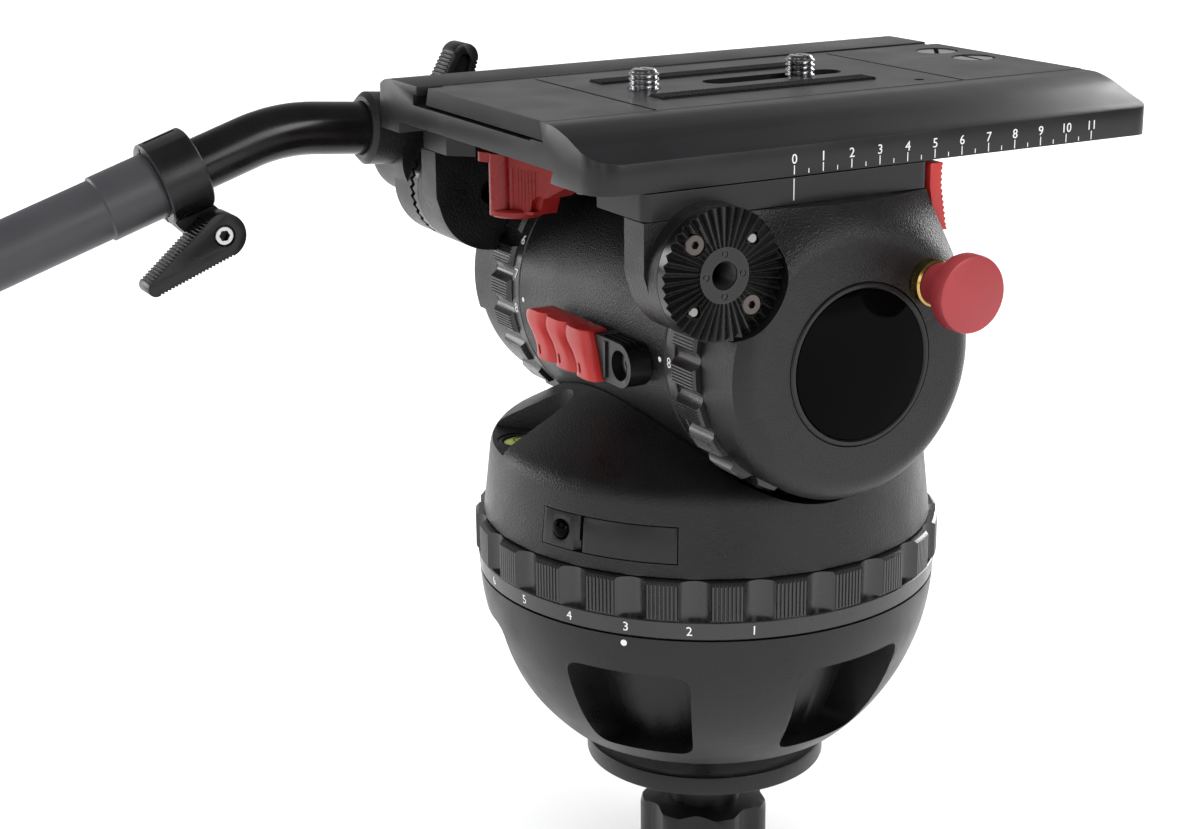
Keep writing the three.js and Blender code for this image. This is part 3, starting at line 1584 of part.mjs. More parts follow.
function makeBarTube() {
  const outer = circle(0, 0, barTubeRadius, smallFacets);
  const inner = circle(0, 0, barTubeRadius - barTubeWall, smallFacets);
  const shape = new THREE.Shape(outer.map((p) => new THREE.Vector2(...p)));
  shape.holes.push(new THREE.Path(inner.map((p) => new THREE.Vector2(...p))));
  const bendSteps = 5;
  const bend = new THREE.QuadraticBezierCurve3(bendStart, bendCorner, bendEnd).getPoints(bendSteps);
  const stations = [barFront, ...bend, barRear];
  const rings = [outer, inner].map((points) =>
    stations.map((station, i) => {
      const before = stations[Math.max(i - 1, 0)];
      const after = stations[Math.min(i + 1, stations.length - 1)];
      const tangent = after.clone().sub(before).normalize();
      const across = new THREE.Vector3(0, 1, 0);
      const up = new THREE.Vector3().crossVectors(tangent, across);
      return points.map(([a, b]) =>
        station.clone().addScaledVector(across, a).addScaledVector(up, b),
      );
    }),
  );
  const positions = [];
  const quad = (p, q, r, s) => {
    for (const v of [p, q, r, p, r, s]) positions.push(v.x, v.y, v.z);
  };
  const count = smallFacets;
  const last = stations.length - 1;
  for (let k = 0; k < count; k++) {
    const n = (k + 1) % count;
    const [out, inn] = rings;
    for (let i = 0; i < last; i++) {
      quad(out[i][k], out[i][n], out[i + 1][n], out[i + 1][k]);
      quad(inn[i][n], inn[i][k], inn[i + 1][k], inn[i + 1][n]);
    }
    quad(out[0][n], out[0][k], inn[0][k], inn[0][n]);
    quad(out[last][k], out[last][n], inn[last][n], inn[last][k]);
  }
  const geometry = new THREE.BufferGeometry();
  geometry.setAttribute("position", new THREE.Float32BufferAttribute(positions, 3));
  return solidFrom(geometry);
}
add("bar_tube", makeBarTube(), "anodised");

// Rosette clamp: teeth that mesh with the far rosette, a hub, a sleeve round the tube and a boss
function makeRosetteClamp() {
  const teeth = makeToothRing(clampBodyY + seatGap, clampDiscY, 1);
  const discHub = tubeRing(
    clampBoltRadius + runGap, rosetteHubRadius + seatGap / 2, "y", clampDiscY + seatGap, clampBodyY + seatGap,
    smallFacets * 2, rosetteX, 0, rosetteHeight,
  );
  const hub = disc(
    clampHubRadius, "y", clampBodyY, clampHubEndY, mediumFacets, rosetteX, 0, rosetteHeight,
  );
  const zAt = (x) => barZAtRosette + frontRise * (rosetteX - x);
  const length = (clampSleeveFrontX - clampSleeveRearX) / towardFront.x;
  const edge = clampSleeveRadius / 6;
  const sleeve = turned(
    [
      [0, 0],
      [clampSleeveRadius - edge, 0],
      [clampSleeveRadius, edge],
      [clampSleeveRadius, length - edge],
      [clampSleeveRadius - edge, length],
      [0, length],
    ],
    "x",
    mediumFacets,
  );
  const placeSleeve = shift(clampSleeveRearX, barPlaneY, zAt(clampSleeveRearX)).multiply(spinY(barFrontAngle));
  const tubeBore = disc(barTubeRadius + seatGap, "x", -overrun, length + overrun, mediumFacets);
  const blockX = rosetteX - clampBlockSetback;
  const blockOutline = hull([
    ...circle(blockX, rosetteHeight + clampBlockRise, clampBlockRadius, mediumFacets),
    ...circle(rosetteX, rosetteHeight, clampBossRadius, smallFacets),
  ]);
  const boss = prism(blockOutline, "y", clampBodyY, clampBossEndY);
  const boltBore = disc(
    clampBoltRadius + runGap, "y", rosetteTipY, clampBossEndY + overrun, smallFacets, rosetteX, 0, rosetteHeight,
  );
  const whole = joined(teeth, discHub, hub, moved(sleeve, placeSleeve), boss);
  return cut(whole, moved(tubeBore, placeSleeve), boltBore);
}
add("bar_rosette_clamp", makeRosetteClamp(), "casting");

// A wing lever: a hub that tapers to its tip, pointing along +X, and the outline of the pocket in its face
function wing(length, hubRadius, tipRadius, start, end) {
  const blade = prism(
    hull([...circle(0, 0, hubRadius, mediumFacets), ...circle(length, 0, tipRadius, smallFacets)]),
    "y",
    start,
    end,
  );
  const pocketDepth = (end - start) / 5;
  const inset = hubRadius * wingPocketInsetShare;
  const pocket = hull([
    ...circle(hubRadius * wingPocketStartShare, 0, hubRadius - inset, smallFacets),
    ...circle(length - tipRadius * wingPocketEndShare, 0, tipRadius * wingPocketTipShare, smallFacets),
  ]);
  return { blade, pocket, pocketDepth };
}

// Clamp lever on the outer side of the bar, with its bolt into the far rosette
function makeClampLever() {
  const start = wingPivotEndY - wingThickness;
  const { blade, pocket, pocketDepth } = wing(
    wingLength, wingHubRadius, wingTipRadius, start, wingPivotEndY,
  );
  const hollow = prism(pocket, "y", start - overrun, start + pocketDepth);
  const bolt = disc(clampBoltRadius, "y", rosetteBossEndY - clampBoltReach, start + seatGap, smallFacets);
  const aim = shift(rosetteX, 0, rosetteHeight).multiply(spinY(wingAzimuth));
  return moved(joined(cut(blade, hollow), bolt), aim);
}
add("bar_clamp_lever", makeClampLever(), "plastic");

// Sleeve with a closed tail, its collar, grip and end cap
const sleeveStart = collarStart;
const seamStart = sleeveStart + sleeveSeam;
const sleeveEnd = sleeveStart + sleeveLength;
const sleeveBore = barTubeRadius + runGap;
add(
  "bar_sleeve",
  alongBar(
    [
      [sleeveBore, sleeveStart],
      [sleeveRadius, sleeveStart],
      [sleeveRadius, seamStart],
      [sleeveTailRadius, seamStart + runGap],
      [sleeveTailRadius, sleeveEnd],
      [sleeveBore, sleeveEnd],
    ],
    mediumFacets,
  ),
  "anodised",
);

const collarFrom = sleeveStart + seatGap;
const collarTo = collarFrom + collarLength;
const collarMiddle = (collarFrom + collarTo) / 2;
const collarSpot = bendCorner.clone().addScaledVector(towardRear, collarMiddle);
const collarDown = new THREE.Vector3().crossVectors(towardRear, new THREE.Vector3(0, 1, 0));
if (collarDown.z > 0) collarDown.negate();
const collarPivot = bendCorner
  .clone()
  .addScaledVector(towardRear, collarFrom + collarPivotInset)
  .addScaledVector(collarDown, collarEarReach);

function makeCollar() {
  const ring = alongBar(
    [
      [sleeveRadius + seatGap, collarFrom],
      [collarRadius, collarFrom],
      [collarRadius, collarTo],
      [sleeveRadius + seatGap, collarTo],
    ],
    mediumFacets,
  );
  const away = collarSpot.clone().addScaledVector(collarDown, (collarRadius + sleeveRadius) / 2);
  const earShape = hull([
    ...circle(collarPivot.x, collarPivot.z, collarEarRadius, smallFacets),
    ...circle(away.x, away.z, collarEarRadius, smallFacets),
  ]);
  const ears = prism(earShape, "y", collarEarOuterY, collarEarFarY);
  const core = alongBar(
    [
      [0, collarFrom - overrun],
      [sleeveRadius + seatGap, collarFrom - overrun],
      [sleeveRadius + seatGap, collarTo + overrun],
      [0, collarTo + overrun],
    ],
    mediumFacets,
  );
  const reach = collarEarReach + collarEarRadius + overrun;
  const low = collarSpot.clone().addScaledVector(collarDown, reach);
  const slitPath = hull([
    ...circle(low.x, low.z, collarLength, smallFacets),
    ...circle(collarSpot.x, collarSpot.z, collarLength, smallFacets),
  ]);
  const middleY = barPlaneY + collarSlit / 2;
  const slit = prism(slitPath, "y", middleY - collarSlit, middleY);
  const bore = disc(
    collarBoltRadius + runGap, "y", collarEarOuterY - overrun, collarEarFarY + overrun, smallFacets,
    collarPivot.x, 0, collarPivot.z,
  );
  return cut(joined(ring, ears), core, slit, bore);
}
add("bar_collar", makeCollar(), "plastic");

function makeCollarLever() {
  const end = collarEarOuterY - seatGap;
  const { blade, pocket, pocketDepth } = wing(
    collarLeverLength, collarLeverHubRadius, collarLeverTipRadius, collarLeverStartY, end,
  );
  const hollow = prism(pocket, "y", end - pocketDepth, end + overrun);
  const bolt = disc(collarBoltRadius, "y", end - seatGap, collarEarFarY, smallFacets);
  const aim = shift(collarPivot.x, 0, collarPivot.z).multiply(spinY(-collarLeverTipAzimuth));
  return moved(joined(cut(blade, hollow), bolt), aim);
}
add("collar_lever", makeCollarLever(), "plastic");

const gripStart = sleeveEnd + gripOverhang - gripLength;
const gripEnd = sleeveEnd + gripOverhang;
function makeGrip() {
  const steps = gripRibs * 2;
  const bulge = Array.from({ length: steps + 1 }, (_, i) => {
    const share = i / steps;
    const groove = i % 2 === 0 ? gripRibDepth : 0;
    const swell = gripSwell * Math.sin(Math.PI * share);
    return [gripRadius - gripSwell + swell - groove, gripStart + (gripEnd - gripStart) * share];
  });
  return alongBar(
    [
      [sleeveTailRadius + seatGap, gripStart],
      ...bulge,
      [0, gripEnd],
      [0, sleeveEnd + seatGap],
      [sleeveTailRadius + seatGap, sleeveEnd + seatGap],
    ],
    mediumFacets,
  );
}
add("bar_grip", makeGrip(), "rubber");
const capStart = gripEnd + seatGap;
add(
  "bar_end_cap",
  alongBar(
    [
      [0, capStart],
      ...capShares.map(([across, up]) => [capRadius * across, capStart + capThickness * up]),
      [0, capStart + capThickness],
    ],
    mediumFacets,
  ),
  "plastic",
);

export default head;
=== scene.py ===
import json
from math import asin, ceil, copysign, cos, degrees, dist, pi, radians, sin, sqrt, tan

import bmesh
import bpy
from mathutils import Matrix, Vector


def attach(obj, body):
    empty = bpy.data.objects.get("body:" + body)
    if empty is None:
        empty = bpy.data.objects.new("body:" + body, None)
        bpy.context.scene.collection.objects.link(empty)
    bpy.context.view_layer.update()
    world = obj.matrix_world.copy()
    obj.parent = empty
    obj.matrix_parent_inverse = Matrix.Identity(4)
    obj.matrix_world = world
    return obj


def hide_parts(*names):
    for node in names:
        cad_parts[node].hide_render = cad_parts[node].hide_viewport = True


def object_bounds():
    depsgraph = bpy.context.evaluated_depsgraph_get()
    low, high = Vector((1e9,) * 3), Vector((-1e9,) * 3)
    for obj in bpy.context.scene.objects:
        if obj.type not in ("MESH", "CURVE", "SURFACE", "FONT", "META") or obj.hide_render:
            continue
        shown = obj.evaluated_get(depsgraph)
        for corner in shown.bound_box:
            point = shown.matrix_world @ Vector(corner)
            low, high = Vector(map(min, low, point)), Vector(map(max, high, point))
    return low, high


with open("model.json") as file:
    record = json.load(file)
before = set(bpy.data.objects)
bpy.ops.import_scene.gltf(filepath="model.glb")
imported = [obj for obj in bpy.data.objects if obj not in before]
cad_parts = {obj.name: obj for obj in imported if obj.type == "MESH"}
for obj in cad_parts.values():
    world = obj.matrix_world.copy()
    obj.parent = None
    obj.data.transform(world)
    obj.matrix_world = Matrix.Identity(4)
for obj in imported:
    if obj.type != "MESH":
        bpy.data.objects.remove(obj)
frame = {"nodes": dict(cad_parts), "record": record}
cad_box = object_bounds()
record = frame["record"]

# Millimetres to metres
MM = 0.001

# Camera solved from the photograph: place in mm, angles in degrees, lens in mm
CAMERA_PLACE = (-369.746, -588.959, 253.947)
CAMERA_AZIMUTH, CAMERA_ELEVATION, CAMERA_ROLL = -29.268, 16.692, -0.572
CAMERA_LENS, CAMERA_SENSOR = 66.489, 36.0


def linked(name, data):
    obj = bpy.data.objects.new(name, data)
    bpy.context.scene.collection.objects.link(obj)
    return obj


def make_camera():
    a, e, r = radians(CAMERA_AZIMUTH), radians(CAMERA_ELEVATION), radians(CAMERA_ROLL)
    back = Vector((sin(a) * cos(e), -cos(a) * cos(e), sin(e)))
    level = Vector((cos(a), sin(a), 0))
    up = back.cross(level)
    right = level * cos(r) + up * sin(r)
    top = up * cos(r) - level * sin(r)
    data = bpy.data.cameras.new("camera")
    data.lens = CAMERA_LENS
    data.sensor_width = CAMERA_SENSOR
    data.sensor_fit = "HORIZONTAL"
    data.clip_start = 0.01
    data.clip_end = 20
    camera = linked("camera", data)
    turn = Matrix((right, top, back)).transposed().to_4x4()
    camera.matrix_world = Matrix.Translation(Vector(CAMERA_PLACE) * MM) @ turn
    bpy.context.scene.camera = camera


make_camera()

# Sizes and places shared with the solids, in mm and degrees
BALL_R = 75
BALL_TOP, BALL_BOTTOM = -3.9, -56
BALL_POCKETS, FIRST_POCKET = 6, -142
RING_BOTTOM, RING_BAND_TOP, RING_TOP = -3.5, 2.5, 15.0
RING_LAND, RING_VALLEY, RING_BORE, RING_LANDS = 76, 73.1, 66, 24
TURRET_BOTTOM, TURRET_EDGE_Z = 15.4, 40.7
TURRET_FOOT_R, TURRET_EDGE_R = 73.2, 70.3
WALL_SLOPE = (TURRET_FOOT_R - TURRET_EDGE_R) / (TURRET_EDGE_Z - TURRET_BOTTOM)
BUBBLE_AZIMUTH, BUBBLE_REACH = radians(157), 60.5
BUBBLE = (BUBBLE_REACH * cos(BUBBLE_AZIMUTH), BUBBLE_REACH * sin(BUBBLE_AZIMUTH), 0)
PANEL_LOW, PANEL_HIGH, PANEL_DEPTH = 4.6, 15.7, 4.0
BUTTON_AZIMUTH, BUTTON_Z = -160, 25.55
TILT_Z = 82
AT_TILT = (0, 0, TILT_Z)
DRUM_R, DRUM_HALF = 43.7, 46.7
TILT_BAND_START, TILT_BAND_END, TILT_RING_END = 46.9, 51.8, 65.0
TILT_LAND, TILT_VALLEY = 45.3, 42.8
DIAL, PRINT_HALF = range(1, 9), 0.06
DIAL_STEP, TILT_DIAL_STEP = 15, 15.1
BRAKE_Y, BRAKE_Z = -33, 77
BRAKE_BACK, BRAKE_LEAN = -44.0, 3 / 7.4
CHEEK_R, CHEEK_IN, CHEEK_OUT, CHEEK_ROUND = 42.7, 65.4, 84.5, 8
WEB_IN, WEB_OUT, BELL_OUT = 61.5, 72.3, 95
BADGE_SEAT, BADGE_R, BEZEL_R = 81.8, 22.4, 24.5
ROSETTE_X, ROSETTE_Z, ROSETTE_R = -45.5, 113.7, 19.4
AT_ROSETTE = (ROSETTE_X, 0, ROSETTE_Z)
TEETH, TEETH_IN, TEETH_BASE, TEETH_TIP = 40, 7.9, 78, 82.1
HUB_R, BOLT_R = 8.05, 4.2
ROSETTE_SCREWS = ((-9.4, 9.6), (9.4, -9.6))
ROSETTE_PINS = ((9.6, 9.4), (-9.6, -9.4))
ROSETTE_MARKS = ((0, 6.05), (0, -6.05), (6.05, 0), (-6.05, 0))
AT_PULL = (24, 0, 104)
PLATFORM_BOTTOM, PLATFORM_TOP, PLATFORM_HALF = 129.1, 136.8, 72.3
RAIL_REAR, RAIL_FRONT, RAIL_TOP = -43.5, 32, 140.6
CARRIER_BOTTOM, CARRIER_TOP = 137.2, 153.8
CARRIER_REAR, CARRIER_FRONT, CARRIER_HALF = -80.3, 117.8, 72.3
CHANNEL_FLOOR = 147.6
SCALE_START, SCALE_STEP, SCALE_NUMBERS = -16.05, 10, 12
PLATE_TOP = 153.9
REAR_SCREW_X, FRONT_SCREW_X = -23, 35
SPARE_X, SPARE_Y = 106, (1, 21)
SCREW_R, SCREW_HEAD_R, SPARE_HOLE_R = 5.15, 8.6, 7.3
STRIP_IN, STRIP_OUT = 14, 23
FRONT_PIN = (24, -50, 0)
REAR_PIN = (-50, -14, 0)
BAR_Y, BAR_R = 98, 8.8
BAR_BEND_X, BAR_BEND_R = -105.3, 60
FRONT_RISE, REAR_DROP = radians(4.9), radians(18.5)
STUD_R, DISH_HOLE_R, KNOB_R = 6, 6.4, 22
KNOB_BOTTOM, KNOB_TOP = -116.3, -90.3
# The floor lies half a millimetre below the part, and the world is palest towards the bright side
FLOOR_Z = cad_box[0][2] / MM - 0.5
BRIGHT_SIDE = (0.45, 0.85, -0.45)


shift = Matrix.Translation


# Points of outlines
def shares(steps):
    return [k / steps for k in range(steps + 1)]


def arc(cx, cy, radius, start, end, steps):
    angles = [radians(start + (end - start) * i / steps) for i in range(steps + 1)]
    return [(cx + radius * cos(a), cy + radius * sin(a)) for a in angles]


def polar(radius, angle):
    return (radius * cos(angle), radius * sin(angle))


def circle(cx, cy, radius, facets):
    return arc(cx, cy, radius, 0, 360, facets)[:-1]


def rectangle(x0, x1, y0, y1):
    return [(x0, y0), (x1, y0), (x1, y1), (x0, y1)]


def hull(points):
    ordered = sorted(set(points))

    def turn(o, p, q):
        return (p[0] - o[0]) * (q[1] - o[1]) - (p[1] - o[1]) * (q[0] - o[0])

    def half(items):
        chain = []
        for p in items:
            while len(chain) > 1 and turn(chain[-2], chain[-1], p) <= 0:
                chain.pop()
            chain.append(p)
        return chain[:-1]

    return half(ordered) + half(ordered[::-1])


def rounded(points, radii, steps=8):
    result = []
    count = len(points)
    for i, corner in enumerate(points):
        radius = radii[i] if isinstance(radii, (list, tuple)) else radii
        if not radius:
            result.append(tuple(corner))
            continue
        here = Vector(corner)
        back = Vector(points[i - 1]) - here
        ahead = Vector(points[(i + 1) % count]) - here
        half = back.angle(ahead) / 2
        setback = min(radius / tan(half), 0.49 * min(back.length, ahead.length))
        start = here + back.normalized() * setback
        end = here + ahead.normalized() * setback
        result += [tuple(spot) for spot in bend(start, here, end, steps)]
    return result


def bend(start, corner, end, steps):
    return [start * (1 - t) ** 2 + corner * 2 * t * (1 - t) + end * t * t for t in shares(steps)]


def dense(points, step):
    result = []
    for i, start in enumerate(points):
        end = points[(i + 1) % len(points)]
        pieces = max(1, ceil(dist(start, end) / step))
        result += [tuple(Vector(start).lerp(Vector(end), k / pieces)) for k in range(pieces)]
    return result


# Solids in millimetres
def solid(verts, faces):
    mesh = bpy.data.meshes.new("solid")
    mesh.from_pydata([tuple(v) for v in verts], [], faces)
    bm = bmesh.new()
    bm.from_mesh(mesh)
    bmesh.ops.remove_doubles(bm, verts=bm.verts, dist=0.0005)
    bmesh.ops.recalc_face_normals(bm, faces=bm.faces)
    bm.to_mesh(mesh)
    bm.free()
    return linked("solid", mesh)


def along(axis, p, h):
    spot = [*p]
    spot.insert("xyz".index(axis), h)
    return tuple(spot)


def walled(low, high, count):
    return [[low + i, low + (i + 1) % count, high + (i + 1) % count, high + i] for i in range(count)]


# A prism with levels along its axis, for shapes that are bent afterwards
def layered(points, axis, levels):
    n = len(points)
    verts = [along(axis, p, h) for h in levels for p in points]
    faces = [list(range(n)), list(range((len(levels) - 1) * n, len(levels) * n))]
    for k in range(len(levels) - 1):
        faces += walled(k * n, (k + 1) * n, n)
    return solid(verts, faces)


def prism(points, axis, start, end):
    return layered(points, axis, (start, end))


def turned(profile, axis, facets, at=(0, 0, 0)):
    rings = []
    verts = []
    for r, h in profile:
        if r < 1e-6:
            rings.append([len(verts)])
            verts.append(along(axis, (0, 0), h))
            continue
        rings.append(list(range(len(verts), len(verts) + facets)))
        verts += [along(axis, p, h) for p in circle(0, 0, r, facets)]
    faces = []
    for i, ring in enumerate(rings):
        other = rings[(i + 1) % len(rings)]
        if len(ring) == 1 and len(other) == 1:
            continue
        for k in range(facets):
            n = (k + 1) % facets
            face = [ring[k % len(ring)], ring[n % len(ring)], other[n % len(other)], other[k % len(other)]]
            faces.append(list(dict.fromkeys(face)))
    return moved(solid(verts, faces), shift(at))


def disc(radius, axis, start, end, facets, at=(0, 0, 0), edge=0):
    profile = [(radius, start), (radius, end)]
    if edge:
        flat = radius - edge
        profile = [(flat, start), (radius, start + edge), (radius, end - edge), (flat, end)]
    return turned([(0, start), *profile, (0, end)], axis, facets, at)


def ring(inner, outer, axis, start, end, facets, at=(0, 0, 0)):
    return turned(rectangle(inner, outer, start, end), axis, facets, at)


def box(x0, x1, y0, y1, z0, z1):
    return prism(rectangle(x0, x1, y0, y1), "z", z0, z1)


def moved(obj, matrix):
    obj.data.transform(matrix)
    if matrix.determinant() < 0:
        obj.data.flip_normals()
    return obj


def copied(obj):
    return linked("copy", obj.data.copy())


# From the near side to the far side, and the mirror between them
ACROSS = Vector((0, 1, 0))
MIRROR = Matrix.Scale(-1, 4, ACROSS)


def mirrored(obj):
    return moved(copied(obj), MIRROR)


def applied(obj):
    graph = bpy.context.evaluated_depsgraph_get()
    mesh = bpy.data.meshes.new_from_object(obj.evaluated_get(graph))
    obj.modifiers.clear()
    obj.data = mesh
    return obj


def softened(obj, width, segments):
    step = obj.modifiers.new("edge", "BEVEL")
    step.width = width
    step.segments = segments
    step.limit_method = "ANGLE"
    step.angle_limit = radians(35)
    return applied(obj)


def combined(base, tools, operation):
    for tool in tools:
        step = base.modifiers.new("combine", "BOOLEAN")
        step.operation = operation
        step.solver = "MANIFOLD"
        step.object = tool
    applied(base)
    for tool in tools:
        bpy.data.objects.remove(tool)
    return base


def cut(base, *tools):
    return combined(base, tools, "DIFFERENCE")


def joined(base, *tools):
    return combined(base, tools, "UNION")


def common(base, tool):
    return combined(base, [tool], "INTERSECT")


def gathered(pieces):
    bm = bmesh.new()
    for item in pieces:
        bm.from_mesh(item.data)
        bpy.data.objects.remove(item)
    mesh = bpy.data.meshes.new("gathered")
    bm.to_mesh(mesh)
    bm.free()
    return linked("gathered", mesh)


def spin(axis, turn, at=(0, 0, 0)):
    place = shift(at)
    return place @ Matrix.Rotation(radians(turn), 4, axis) @ place.inverted()


def tube(points, radius, facets):
    last = len(points) - 1
    verts = []
    for i, p in enumerate(points):
        tangent = (points[min(i + 1, last)] - points[max(i - 1, 0)]).normalized()
        u = (ACROSS - tangent * ACROSS.dot(tangent)).normalized()
        v = tangent.cross(u)
        verts += [p + u * a + v * b for a, b in circle(0, 0, radius, facets)]
    faces = []
    for i in range(last):
        faces += walled(i * facets, (i + 1) * facets, facets)
    faces += [list(range(facets)), list(range(last * facets, (last + 1) * facets))]
    return solid(verts, faces)


# Materials
def added(tree, kind, values=(), **settings):
    node = tree.nodes.new("ShaderNode" + kind)
    for key, value in settings.items():
        setattr(node, key, value)
    for key, value in dict(values).items():
        node.inputs[key].default_value = value
    return node


def ranged(tree, source, low, high, start, end, **settings):
    values = {"From Min": low, "From Max": high, "To Min": start, "To Max": end}
    node = added(tree, "MapRange", values, **settings)
    tree.links.new(source, node.inputs["Value"])
    return node.outputs[0]


def node_tree(name):
    material = bpy.data.materials.new(name)
    material.use_nodes = True
    tree = material.node_tree
    tree.nodes.clear()
    output = added(tree, "OutputMaterial")
    shader = added(tree, "BsdfPrincipled")
    tree.links.new(shader.outputs[0], output.inputs[0])
    return material, shader


# Blotches per metre, the span that noise fills, and how wear follows an edge's roundness
BLOTCHES = 60
NOISE_SPAN = (0.3, 0.7)
WEAR_REACH = 0.0005
WEAR_SPAN = (0.985, 0.90)
SMOOTHEST = 0.02


def surface(
    name, colour, roughness, metallic=0.0, grain=1400, bump=0.0, depth=0.05, spread=0.25,
    vary=0.08, wear=0.0, bare=(0.35, 0.35, 0.36), specular=0.5,
):
    material, shader = node_tree(name)
    tree = material.node_tree
    link = tree.links.new
    where = added(tree, "TexCoord").outputs["Object"]
    fine = added(tree, "TexNoise", {"Scale": grain, "Detail": 3})
    broad = added(tree, "TexNoise", {"Scale": BLOTCHES, "Detail": 4})
    link(where, fine.inputs["Vector"])
    link(where, broad.inputs["Vector"])
    blotch = broad.outputs["Fac"]
    tint = added(tree, "Mix", {"Factor": 1, "A": (*colour, 1)}, data_type="RGBA", blend_type="MULTIPLY")
    link(ranged(tree, blotch, *NOISE_SPAN, 1 - spread, 1 + spread), tint.inputs["B"])
    colour_out = tint.outputs["Result"]
    if wear:
        edge = added(tree, "Bevel", {"Radius": WEAR_REACH})
        shape = added(tree, "NewGeometry")
        dot = added(tree, "VectorMath", operation="DOT_PRODUCT")
        link(edge.outputs[0], dot.inputs[0])
        link(shape.outputs["Normal"], dot.inputs[1])
        patchy = added(tree, "Math", operation="MULTIPLY")
        link(ranged(tree, dot.outputs["Value"], *WEAR_SPAN, 0, wear), patchy.inputs[0])
        link(blotch, patchy.inputs[1])
        worn = added(tree, "Mix", {"B": (*bare, 1)}, data_type="RGBA")
        link(patchy.outputs[0], worn.inputs["Factor"])
        link(colour_out, worn.inputs["A"])
        colour_out = worn.outputs["Result"]
    smooth, rough = max(roughness - vary, SMOOTHEST), roughness + vary
    link(colour_out, shader.inputs["Base Color"])
    link(ranged(tree, blotch, *NOISE_SPAN, smooth, rough), shader.inputs["Roughness"])
    shader.inputs["Metallic"].default_value = metallic
    shader.inputs["Specular IOR Level"].default_value = specular
    if bump:
        relief = added(tree, "Bump", {"Strength": bump, "Distance": depth * MM})
        link(fine.outputs["Fac"], relief.inputs["Height"])
        link(relief.outputs[0], shader.inputs["Normal"])
    return material


LOOKS = {
    "casting": surface("powder_coat", (0.006, 0.006, 0.0065), 0.35, grain=1750, bump=1.0, depth=0.24,
                       specular=0.34, wear=0.25, bare=(0.07, 0.07, 0.075)),
    "casting_fine": surface("fine_coat", (0.006, 0.006, 0.0065), 0.35, grain=2000, bump=0.8, depth=0.17,
                            specular=0.34, wear=0.2, bare=(0.06, 0.06, 0.065)),
    "anodised": surface("black_anodised", (0.008, 0.008, 0.009), 0.33, grain=2600, bump=0.4, depth=0.06,
                        spread=0.12, vary=0.04, specular=0.32, wear=0.3, bare=(0.10, 0.10, 0.11)),
    "ring": surface("moulded_ring", (0.014, 0.014, 0.015), 0.28, grain=1500, bump=0.15, depth=0.04,
                    specular=0.55, wear=0.15, bare=(0.08, 0.08, 0.085)),
    "teeth": surface("cut_teeth", (0.003, 0.003, 0.0033), 0.26, grain=1800, bump=0.2, depth=0.04,
                     specular=0.42, wear=0.5, bare=(0.10, 0.10, 0.105)),
    "matte_tube": surface("matte_anodised", (0.040, 0.040, 0.045), 0.40, grain=2600, bump=0.3, depth=0.05,
                          spread=0.1, specular=0.4, wear=0.2, bare=(0.12, 0.12, 0.13)),
    "tube": surface("smooth_anodised", (0.005, 0.005, 0.0055), 0.26, grain=2600, bump=0.2, depth=0.04,
                    spread=0.1, specular=0.34),
    "plastic": surface("moulded_black", (0.005, 0.005, 0.0055), 0.34, grain=1900, bump=0.5, depth=0.08,
                       specular=0.36),
    "gloss": surface("domed_black", (0.001, 0.001, 0.0013), 0.06, grain=300, vary=0.02, specular=0.03,
                     spread=0.1),
    "rubber": surface("black_rubber", (0.008, 0.008, 0.008), 0.75, grain=1300, bump=0.4, depth=0.08,
                      specular=0.2),
    "red": surface("red_plastic", (0.40, 0.022, 0.020), 0.34, grain=2200, bump=0.6, depth=0.08, spread=0.1,
                   specular=0.4),
    # The red plastic again, made darker as painted shade: it stands for the shade the rear lever sits in
    "red_deep": surface("red_plastic_painted_shade", (0.20, 0.008, 0.006), 0.30, grain=2200, bump=0.6, depth=0.08,
                        spread=0.1, specular=0.3),
    "red_metal": surface("red_anodised", (0.30, 0.034, 0.040), 0.40, metallic=0.3, grain=2600, bump=0.4,
                         depth=0.05, spread=0.1),
    "brass": surface("brass", (0.50, 0.33, 0.11), 0.25, metallic=1.0, grain=900, bump=0.1, spread=0.15),
    "steel": surface("bright_steel", (0.46, 0.46, 0.47), 0.22, metallic=1.0, grain=1200, bump=0.15,
                     spread=0.15),
    "worn_steel": surface("worn_steel", (0.24, 0.23, 0.22), 0.32, metallic=1.0, grain=700, bump=0.5,
                          depth=0.12, spread=0.3),
    "dark_steel": surface("dark_steel", (0.095, 0.082, 0.078), 0.34, metallic=1.0, grain=1200, bump=0.08),
    "print": surface("white_print", (0.72, 0.72, 0.72), 0.6, grain=1500, bump=0.1, spread=0.08),
    "vial": surface("vial", (0.32, 0.40, 0.10), 0.06, grain=200, spread=0.1),
}

NODE_BODY = {node: body for body, nodes in record["behaviour"]["bodies"].items() for node in nodes}
NODE_SLOT = {item["node"]: item["material_slot"] for item in record["subparts"]}
DRESSED = set()


def piece(name, obj, node, look, bevel=0.0, segments=2, angle=32, stands=True, slot=None):
    if bevel:
        softened(obj, bevel, segments)
    obj.data.transform(Matrix.Scale(MM, 4))
    for polygon in obj.data.polygons:
        polygon.use_smooth = True
    obj.data.set_sharp_from_angle(angle=radians(angle))
    obj.data.materials.clear()
    obj.data.materials.append(LOOKS[look])
    obj.name = name
    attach(obj, NODE_BODY[node])
    slot or NODE_SLOT[node]
    if stands:
        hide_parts(node)
        DRESSED.add(node)


# Flat lettering about the origin: x runs right, y up and z out of the sheet
def lettering(text, size):
    curve = bpy.data.curves.new("text", "FONT")
    curve.body = text
    curve.size = size
    curve.align_x = curve.align_y = "CENTER"
    curve.extrude = PRINT_HALF
    curve.resolution_u = 3
    letter = linked("text", curve)
    graph = bpy.context.evaluated_depsgraph_get()
    mesh = bpy.data.meshes.new_from_object(letter.evaluated_get(graph))
    bpy.data.objects.remove(letter)
    return linked("letter", mesh)


